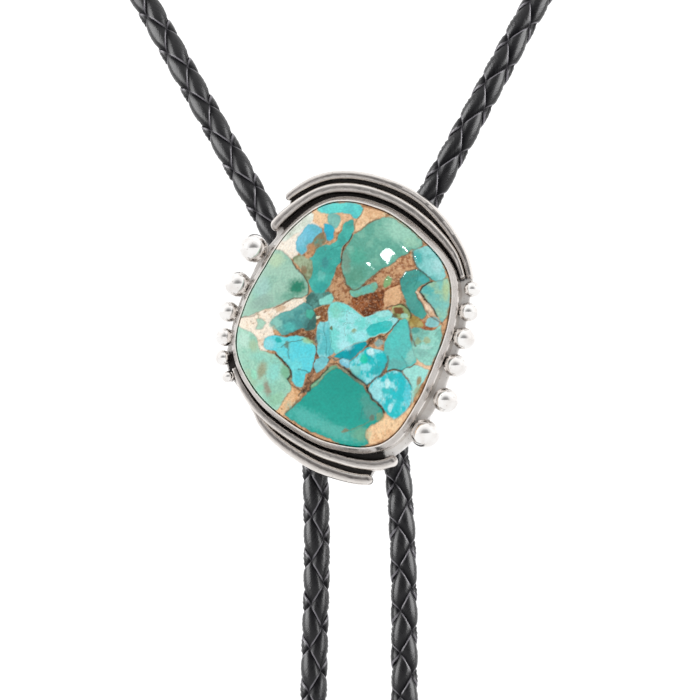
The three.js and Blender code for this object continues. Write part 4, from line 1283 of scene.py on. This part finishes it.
# %% The stone's mesh
BRONZE_SUNK = 0.02
LINE_SUNK = 0.015
CHIP_SWELL = 0.009
STONE_SKIRT = [(1.2, 4.3), (0.85, 2.9), (0.85, 0.3)]
rim_fade = np.clip((1 - dome_share) / 0.03, 0, 1)
swell = uneven(photo_x, photo_y, 13, 211) + 0.3 * uneven(photo_x, photo_y, 5, 212) - 1
relief = -BRONZE_SUNK * bronze - LINE_SUNK * dark + CHIP_SWELL * (1 - bronze) * swell
dome = np.stack([dome_x, dome_y - relief * rim_fade, dome_z], -1)
index = np.arange(DOME_GRID ** 2).reshape(DOME_GRID, DOME_GRID)
quads = np.stack([index[:-1, :-1], index[:-1, 1:], index[1:, 1:], index[1:, :-1]], -1).reshape(-1, 4)
border = np.concatenate([index[0, :-1], index[:-1, -1], index[-1, :0:-1], index[:0:-1, 0]])
skirt = [on_slide(dome_angle[border], -inset, height) for inset, height in STONE_SKIRT]
faces = quads.tolist()
rows = [border] + [len(dome) + i * len(border) + np.arange(len(border)) for i in range(len(skirt))]
for upper, lower in zip(rows[:-1], rows[1:]):
    faces += np.stack([np.roll(upper, -1), upper, lower, np.roll(lower, -1)], 1).tolist()
faces.append(rows[-1].tolist())
stone = as_object("turquoise_dome", np.vstack([dome, *skirt]), faces, crease=60)
extra = len(border) * len(skirt)
# The skirt takes the rim's colours at 0.3 of their brightness: painted shade inside the bezel.
shown = np.vstack([colour, np.repeat(colour[border][None], len(skirt), 0).reshape(-1, 3) * 0.3])
give(stone, "chip_colour", np.hstack([shown, np.ones((len(shown), 1))]), "FLOAT_COLOR")
give(stone, "bronze", np.concatenate([bronze, np.zeros(extra)]))
give(stone, "dark_line", np.concatenate([dark, np.zeros(extra)]))
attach(stone, "root")
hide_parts("turquoise_stone")
print("stone points:", len(stone.data.vertices))

# %% [markdown]
# Polished turquoise has a waxy body under a clear gloss. The painted colour is the body, with a
# grain far finer than the chart. The bronze parts are partly metal and glitter with tiny flecks.
# A clear coat over everything gives the sharp reflection.

# %% The stone's finish
FLECK_TONE = (1.0, 0.78, 0.55, 1)
PIT_TONE = (0.16, 0.07, 0.03, 1)


def turquoise_finish():
    """Painted chips with fine grain, glittering bronze and a clear polish."""
    finish, tree, shader = new_finish("polished_turquoise")
    place = lay(tree, "TexCoord").outputs["Object"]
    body = lay(tree, "Attribute", attribute_name="chip_colour").outputs["Color"]
    metal = lay(tree, "Attribute", attribute_name="bronze").outputs["Fac"]
    line = lay(tree, "Attribute", attribute_name="dark_line").outputs["Fac"]
    grain = lay(tree, "TexNoise", {"Vector": place, "Scale": 2600, "Detail": 4}).outputs["Fac"]
    mottle = spread(tree, grain, 0.3, 0.7, 0.86, 1.1)
    toned = lay(tree, "VectorMath", {0: body, 1: mottle}, operation="MULTIPLY").outputs[0]
    cells = lay(tree, "TexVoronoi", {"Vector": place, "Scale": 4200}).outputs["Color"]
    pick = lay(tree, "SeparateColor", {"Color": cells}).outputs[0]
    fleck = spread(tree, pick, 0.6, 1.0, 0.0, 0.16)
    glitter = worked(tree, "MULTIPLY", fleck, metal)
    bright = mixed(tree, glitter, toned, FLECK_TONE)
    pit = spread(tree, pick, 0.0, 0.3, 0.16, 0.0)
    shadow = worked(tree, "MULTIPLY", pit, metal)
    final = mixed(tree, shadow, bright, PIT_TONE)
    tree.links.new(final, shader.inputs["Base Color"])
    part_metal = worked(tree, "MULTIPLY", metal, 0.08)
    tree.links.new(part_metal, shader.inputs["Metallic"])
    rough = spread(tree, line, 0, 1, 0.3, 0.6)
    tree.links.new(rough, shader.inputs["Roughness"])
    bump = lay(tree, "Bump", {"Height": grain, "Strength": 0.12, "Distance": 0.00003}).outputs[0]
    tree.links.new(bump, shader.inputs["Normal"])
    shader.inputs["Specular IOR Level"].default_value = 0.04
    shader.inputs["Coat IOR"].default_value = 1.4
    polish = spread(tree, metal, 0, 1, 0.9, 0.12)
    tree.links.new(polish, shader.inputs["Coat Weight"])
    haze = spread(tree, metal, 0, 1, 0.04, 0.3)
    tree.links.new(haze, shader.inputs["Coat Roughness"])
    return finish


stone.data.materials.append(turquoise_finish())
print("stone finish laid")

# %% [markdown]
# The silver is bright where it was rubbed and nearly black in the channels. Fine scratches run
# along each wire and round the bezel, because that is the way the polishing stick went, and small
# pits are left from casting. The scratches follow a direction that was stored on the points. A
# painted dim reflection, stored there too, greys the broad faces of the wires and the bezel's
# slope, where they would mirror the dim side of the tent.

# %% The silver's finish
SILVER_TONE = (0.82, 0.78, 0.745, 1)
BALL_TONE = (0.88, 0.865, 0.85, 1)
# The grey of the painted dim reflection on wires and bezel.
DIM_REFLECTION_TONE = (0.235, 0.21, 0.2, 1)
BLACKENED_TONE = (0.018, 0.012, 0.010, 1)
FROSTED_TONE = (0.95, 0.93, 0.91, 1)
CLOUDY_TONE = (0.66, 0.6, 0.555, 1)
CAST_PIT_TONE = (0.35, 0.3, 0.27, 1)


def silver_finish(name, bright, grain_size, gloss, rough, metal=1.0):
    """Rubbed silver with scratches along its run, pits, and blackening where it is marked."""
    finish, tree, shader = new_finish(name)
    grain = lay(tree, "Attribute", attribute_name="grain").outputs["Vector"]
    black = lay(tree, "Attribute", attribute_name="tarnish").outputs["Fac"]
    painted_dim_reflection = lay(tree, "Attribute", attribute_name="painted_dim_reflection").outputs["Fac"]
    run = lay(tree, "VectorMath", {0: grain, 1: grain_size}, operation="MULTIPLY").outputs[0]
    scratched = {"Vector": run, "Scale": 1.0, "Detail": 5, "Roughness": 0.65}
    scratch = lay(tree, "TexNoise", scratched).outputs["Fac"]
    cloudy = lay(tree, "TexNoise", {"Vector": grain, "Scale": 0.55, "Detail": 3}).outputs["Fac"]
    cells = lay(tree, "TexVoronoi", {"Vector": grain, "Scale": 1.5}).outputs["Distance"]
    pit = spread(tree, cells, 0.06, 0.14, 1.0, 0.0)
    dull = spread(tree, cloudy, 0.35, 0.7, gloss, rough)
    ragged = spread(tree, scratch, 0.3, 0.7, -0.2, 0.2)
    marked = worked(tree, "ADD", black, ragged)
    cover = ramp(tree, marked, [(0.3, 0.0), (0.62, 1.0)])
    warm = spread(tree, cloudy, 0.4, 0.75, 0.0, 0.5)
    tone = mixed(tree, warm, bright, CLOUDY_TONE)
    speckle = spread(tree, scratch, 0.35, 0.65, 0.72, 1.2)
    # Painted reflection: the dim grey is laid where the points carry it, speckled along the scratches.
    speckled_dim_reflection = worked(tree, "MULTIPLY", painted_dim_reflection, speckle)
    tone = mixed(tree, speckled_dim_reflection, tone, DIM_REFLECTION_TONE)
    pitted = mixed(tree, pit, tone, CAST_PIT_TONE)
    final = mixed(tree, cover, pitted, BLACKENED_TONE)
    tree.links.new(final, shader.inputs["Base Color"])
    metallic = spread(tree, cover, 0, 1, metal, 0.2)
    tree.links.new(metallic, shader.inputs["Metallic"])
    roughness = lay(tree, "Mix", {0: cover, 2: dull, 3: 0.55}, data_type="FLOAT").outputs[0]
    tree.links.new(roughness, shader.inputs["Roughness"])
    sunk = spread(tree, pit, 0, 1, 0.0, -2.0)
    height = worked(tree, "ADD", scratch, sunk)
    bump = lay(tree, "Bump", {"Height": height, "Strength": 0.35, "Distance": 0.00002}).outputs[0]
    tree.links.new(bump, shader.inputs["Normal"])
    return finish


drawn_silver = silver_finish("rubbed_silver", SILVER_TONE, (1.3, 13.0, 13.0), 0.12, 0.28)
ball_silver = silver_finish("ball_silver", BALL_TONE, (2.2, 2.2, 2.2), 0.08, 0.2)
plate_silver = silver_finish("frosted_silver", FROSTED_TONE, (3.0, 3.0, 3.0), 0.5, 0.7, 0.25)
for piece in [bezel_wall, *wires]:
    piece.data.materials.append(drawn_silver)
plate.data.materials.append(plate_silver)
for ball in balls:
    ball.data.materials.append(ball_silver)
print("silver finishes laid")

# %% [markdown]
# The laces are strips of glazed black leather. Glazed leather has a broad, soft shine and fine
# lengthwise creases from the pull of braiding. Its cut edges are pale: partly the bare leather, and
# partly a painted highlight where the thin bevel would catch the light. Where a lace tucks under
# the next, its gloss and its pale edge are turned down as painted shade.

# %% The leather's finish
GLAZE_DEEP = (0.003, 0.003, 0.004, 1)
GLAZE_WORN = (0.011, 0.0105, 0.0125, 1)
# Pale cut edge: partly the bare leather's grey, partly a painted highlight along the bevel.
CUT_EDGE_AND_HIGHLIGHT_TONE = (0.2, 0.19, 0.21, 1)


def leather_finish():
    """Glazed black leather with creases, pale cut edges that are partly painted highlight, and painted shade
    in the tucks.
    """
    finish, tree, shader = new_finish("glazed_leather")
    grain = lay(tree, "Attribute", attribute_name="grain").outputs["Vector"]
    edge = lay(tree, "Attribute", attribute_name="edge").outputs["Fac"]
    tuck = lay(tree, "Attribute", attribute_name="tuck").outputs["Fac"]
    pulled = lay(tree, "VectorMath", {0: grain, 1: (0.35, 2.6, 1.0)}, operation="MULTIPLY").outputs[0]
    creased = {"Vector": pulled, "Scale": 1.2, "Detail": 5, "Roughness": 0.6}
    crease = lay(tree, "TexNoise", creased).outputs["Fac"]
    pores = lay(tree, "TexNoise", {"Vector": grain, "Scale": 5.0, "Detail": 4}).outputs["Fac"]
    # Painted shade in the tucks: there the pale edge drops to 0.3 of its strength, in place of the shade
    # under the crossing lace.
    hidden = ramp(tree, tuck, [(0.12, 0.0), (0.42, 1.0)])
    edge_and_highlight_band = ramp(tree, edge, [(0.86, 0.0), (0.93, 1.0)])
    tuck_shade = spread(tree, hidden, 0, 1, 1.0, 0.3)
    pale = worked(tree, "MULTIPLY", edge_and_highlight_band, tuck_shade)
    black = mixed(tree, crease, GLAZE_DEEP, GLAZE_WORN)
    final = mixed(tree, pale, black, CUT_EDGE_AND_HIGHLIGHT_TONE)
    tree.links.new(final, shader.inputs["Base Color"])
    shine = spread(tree, crease, 0.3, 0.7, 0.2, 0.36)
    tree.links.new(shine, shader.inputs["Roughness"])
    # Painted shade: the gloss falls where the lace tucks under.
    gloss = spread(tree, hidden, 0, 1, 0.3, 0.06)
    tree.links.new(gloss, shader.inputs["Specular IOR Level"])
    fine = worked(tree, "MULTIPLY", pores, 0.35)
    height = worked(tree, "ADD", crease, fine)
    bump = lay(tree, "Bump", {"Height": height, "Strength": 0.4, "Distance": 0.0001}).outputs[0]
    tree.links.new(bump, shader.inputs["Normal"])
    return finish


leather = leather_finish()
for braid in (neck_braid, left_braid, right_braid):
    braid.data.materials.append(leather)
print("leather finish laid")

# %% [markdown]
# Behind the slide a plain clip holds the two cords: a flat foot and two short tubes on it. The
# tubes are turned with rolled lips and joined to the foot with a union, so the piece is one clean
# skin.

# %% The clip
CLIP_MIDDLE = -0.1
CLIP_SPREAD = 7.2
CLIP_DEPTH = 4.25
CLIP_BORE = 2.75
CLIP_HOOD = 3.65
CLIP_HALF_WIDTH = 14.5
CLIP_LOW, CLIP_HIGH = -20.0, -4.0
CLIP_FOOT = (0.3, 1.5)
CLIP_ROUND = 2.2
CLIP_SIDES = 72


def clip_foot():
    """The foot: a flat sheet with round corners and eased edges."""
    corner = np.radians(np.arange(0, 91, 10))
    wide, high = CLIP_HALF_WIDTH - CLIP_ROUND, (CLIP_HIGH - CLIP_LOW) / 2 - CLIP_ROUND
    middle = (CLIP_HIGH + CLIP_LOW) / 2
    flat = []
    for sx, sz, turn in ((1, 1, 0), (-1, 1, 90), (-1, -1, 180), (1, -1, 270)):
        angle = corner + math.radians(turn)
        across, up = CLIP_ROUND * np.cos(angle), CLIP_ROUND * np.sin(angle)
        flat.append(np.stack([sx * wide + across, sz * high + up], 1))
    flat = np.vstack(flat)
    rings = []
    front, rear = CLIP_FOOT
    for inset, y in ((0.2, front), (0.0, front + 0.2), (0.0, rear - 0.25), (0.25, rear)):
        shrunk = flat * (1 - inset / np.array([CLIP_HALF_WIDTH, CLIP_HALF_WIDTH * 0.6]))
        rings.append(np.stack([CLIP_MIDDLE + shrunk[:, 0], np.full(len(flat), y), middle + shrunk[:, 1]], 1))
    return as_object("cord_clip_plate", np.vstack(rings), sew(4, len(flat)), crease=50)


def clip_tube(name, x):
    """One tube with rolled lips."""
    spin = np.arange(CLIP_SIDES) * 2 * math.pi / CLIP_SIDES
    wall = (CLIP_HOOD - CLIP_BORE) / 2
    lips = []
    for top, sign in ((CLIP_LOW + wall, -1), (CLIP_HIGH - wall, 1)):
        for turn in np.radians(np.arange(0, 181, 20)):
            out = -math.cos(turn) if sign > 0 else math.cos(turn)
            lips.append(((CLIP_HOOD + CLIP_BORE) / 2 - wall * out * -1, top + sign * wall * math.sin(turn)))
    rings = [
        np.stack([x + r * np.cos(spin), CLIP_DEPTH + r * np.sin(spin), np.full(CLIP_SIDES, z)], 1)
        for r, z in lips
    ]
    return as_object(name, np.vstack(rings), sew(len(rings), CLIP_SIDES, ends="loop"), crease=50)


clip_piece = clip_foot()
for hand in (-1, 1):
    tube = clip_tube("clip_tube", CLIP_MIDDLE + hand * CLIP_SPREAD)
    union = clip_piece.modifiers.new("union", "BOOLEAN")
    union.operation = "UNION"
    union.solver = "EXACT"
    union.object = tube
    merged = bpy.data.meshes.new_from_object(clip_piece.evaluated_get(bpy.context.evaluated_depsgraph_get()))
    clip_piece.modifiers.clear()
    clip_piece.data = merged
    bpy.data.objects.remove(tube)
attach(clip_piece, "root")
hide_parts("cord_clip")
print("clip points:", len(clip_piece.data.vertices))

# %% [markdown]
# The clip is plain plated metal, brushed up and down. The tips are polished, with faint turning
# marks round them. Both read their marks from the place on the object.

# %% The clip's and the tips' finish
CLIP_TONE = (0.72, 0.71, 0.7, 1)
TIP_TONE = (0.86, 0.85, 0.83, 1)
PLATING_HAZE = (0.5, 0.47, 0.44, 1)


def plated_finish(name, tone, stretch, gloss, rough):
    """Plated metal with fine marks that are stretched one way."""
    finish, tree, shader = new_finish(name)
    place = lay(tree, "TexCoord").outputs["Object"]
    run = lay(tree, "VectorMath", {0: place, 1: stretch}, operation="MULTIPLY").outputs[0]
    marks = lay(tree, "TexNoise", {"Vector": run, "Scale": 1.0, "Detail": 4}).outputs["Fac"]
    cloudy = lay(tree, "TexNoise", {"Vector": place, "Scale": 300, "Detail": 2}).outputs["Fac"]
    tarnish = spread(tree, cloudy, 0.45, 0.8, 0.0, 0.35)
    final = mixed(tree, tarnish, tone, PLATING_HAZE)
    tree.links.new(final, shader.inputs["Base Color"])
    dull = spread(tree, marks, 0.3, 0.7, gloss, rough)
    tree.links.new(dull, shader.inputs["Roughness"])
    bump = lay(tree, "Bump", {"Height": marks, "Strength": 0.25, "Distance": 0.00002}).outputs[0]
    tree.links.new(bump, shader.inputs["Normal"])
    shader.inputs["Metallic"].default_value = 1.0
    return finish


clip_piece.data.materials.clear()
clip_piece.data.materials.append(plated_finish("brushed_plating", CLIP_TONE, (9000, 9000, 500), 0.2, 0.42))
tip_plating = plated_finish("polished_plating", TIP_TONE, (300, 300, 6000), 0.08, 0.2)
for tip in (left_tip, right_tip):
    tip.data.materials.append(tip_plating)
print("plated finishes laid")

# %% [markdown]
# The photo has a pure white ground and very even light, as in a light tent: bright cloth at the
# sides, and a dim opening where the lens looks in. Silver and glossy leather show mostly what is
# around them, so the sky is brightest at the sides, white behind and grey on the viewer's side.

# %% The light tent
TENT_STRENGTH = 1.2
TENT_SHADES = [(0.0, 1.0), (0.75, 1.0), (0.875, 0.76), (0.94, 0.36), (1.0, 0.2)]


def light_tent():
    """A world that is brightest at the sides and grey towards the viewer."""
    world = bpy.data.worlds.new("light_tent")
    bpy.context.scene.world = world
    world.use_nodes = True
    tree = world.node_tree
    way = lay(tree, "TexCoord").outputs["Generated"]
    towards = tuple(float(v) for v in BACK)
    facing = lay(tree, "VectorMath", {0: way, 1: towards}, operation="DOT_PRODUCT").outputs["Value"]
    round_way = spread(tree, facing, -1.0, 1, 0, 1)
    ground = tree.nodes["Background"]
    tree.links.new(ramp(tree, round_way, TENT_SHADES), ground.inputs["Color"])
    ground.inputs["Strength"].default_value = TENT_STRENGTH


light_tent()
bpy.context.scene.view_settings.view_transform = "Standard"
print("tent's brightest cloth:", TENT_STRENGTH)

# %% [markdown]
# Two tall soft boxes stand at the sides. They give the leather its long grey sheen, and they add
# gloss only, because the cloth already gives the even brightness. Hard white glints sit on the
# upper right of the dome, the broken reflection of small lamps above the lens. A lamp's place
# follows from its glint: the sight line is mirrored at that point of the dome. The small lamps
# light the stone alone, and the soft boxes the leather.

# %% The lamps
LAMPS = {
    "right_box": ((0.98, -0.05, 0.22), 1.0, 0.9, 1.4, 38.0),
    "left_box": ((-0.92, -0.36, 0.22), 1.0, 0.9, 1.4, 33.0),
    "main_lamp": ((0.035, -0.93, 0.365), 0.75, 0.09, 0.026, 0.4),
    "right_lamp": ((0.202, -0.839, 0.505), 0.75, 0.022, 0.028, 0.18),
    "left_lamp": ((-0.086, -0.962, 0.258), 0.75, 0.012, 0.016, 0.05),
}
GLINT_PLACE = Vector(placed([8.8, -8.6, 11.1]))
LAMP_SLANT = Vector((0.166, 0.072, 0.16))
only_stone = bpy.data.collections.new("lit_by_small_lamps")
only_stone.objects.link(stone)
only_leather = bpy.data.collections.new("lit_by_soft_boxes")
for braid in (neck_braid, left_braid, right_braid):
    only_leather.objects.link(braid)
for name, (way, away, wide, high, power) in LAMPS.items():
    lamp_data = bpy.data.lights.new(name, "AREA")
    lamp_data.shape = "RECTANGLE"
    lamp_data.size = wide
    lamp_data.size_y = high
    lamp_data.energy = power
    lamp = bpy.data.objects.new(name, lamp_data)
    lamp.visible_diffuse = False
    bpy.context.scene.collection.objects.link(lamp)
    back = Vector(way).normalized()
    small = name.endswith("lamp")
    slant = LAMP_SLANT if small else Vector((0, 0, 1)).cross(back)
    across = (slant - back * slant.dot(back)).normalized()
    turned = Matrix([across, back.cross(across), back]).transposed()
    lamp.matrix_world = Matrix.LocRotScale(GLINT_PLACE + away * back, turned, None)
    lamp.light_linking.receiver_collection = only_stone if small else only_leather
print("lamps:", len(LAMPS))

# %% The floor
FLOOR_LEVEL = -0.335
FLOOR_HALF = 6.0
corners = [(x * FLOOR_HALF, y * FLOOR_HALF, FLOOR_LEVEL) for x, y in ((-1, -1), (1, -1), (1, 1), (-1, 1))]
floor_mesh = bpy.data.meshes.new("floor")
floor_mesh.from_pydata(corners, [], [(0, 1, 2, 3)])
floor = bpy.data.objects.new("floor", floor_mesh)
bpy.context.scene.collection.objects.link(floor)
floor_finish, _, floor_shader = new_finish("pale_floor")
floor_shader.inputs["Base Color"].default_value = (0.95, 0.95, 0.95, 1)
floor_shader.inputs["Roughness"].default_value = 0.9
floor_mesh.materials.append(floor_finish)
print("floor at", FLOOR_LEVEL)
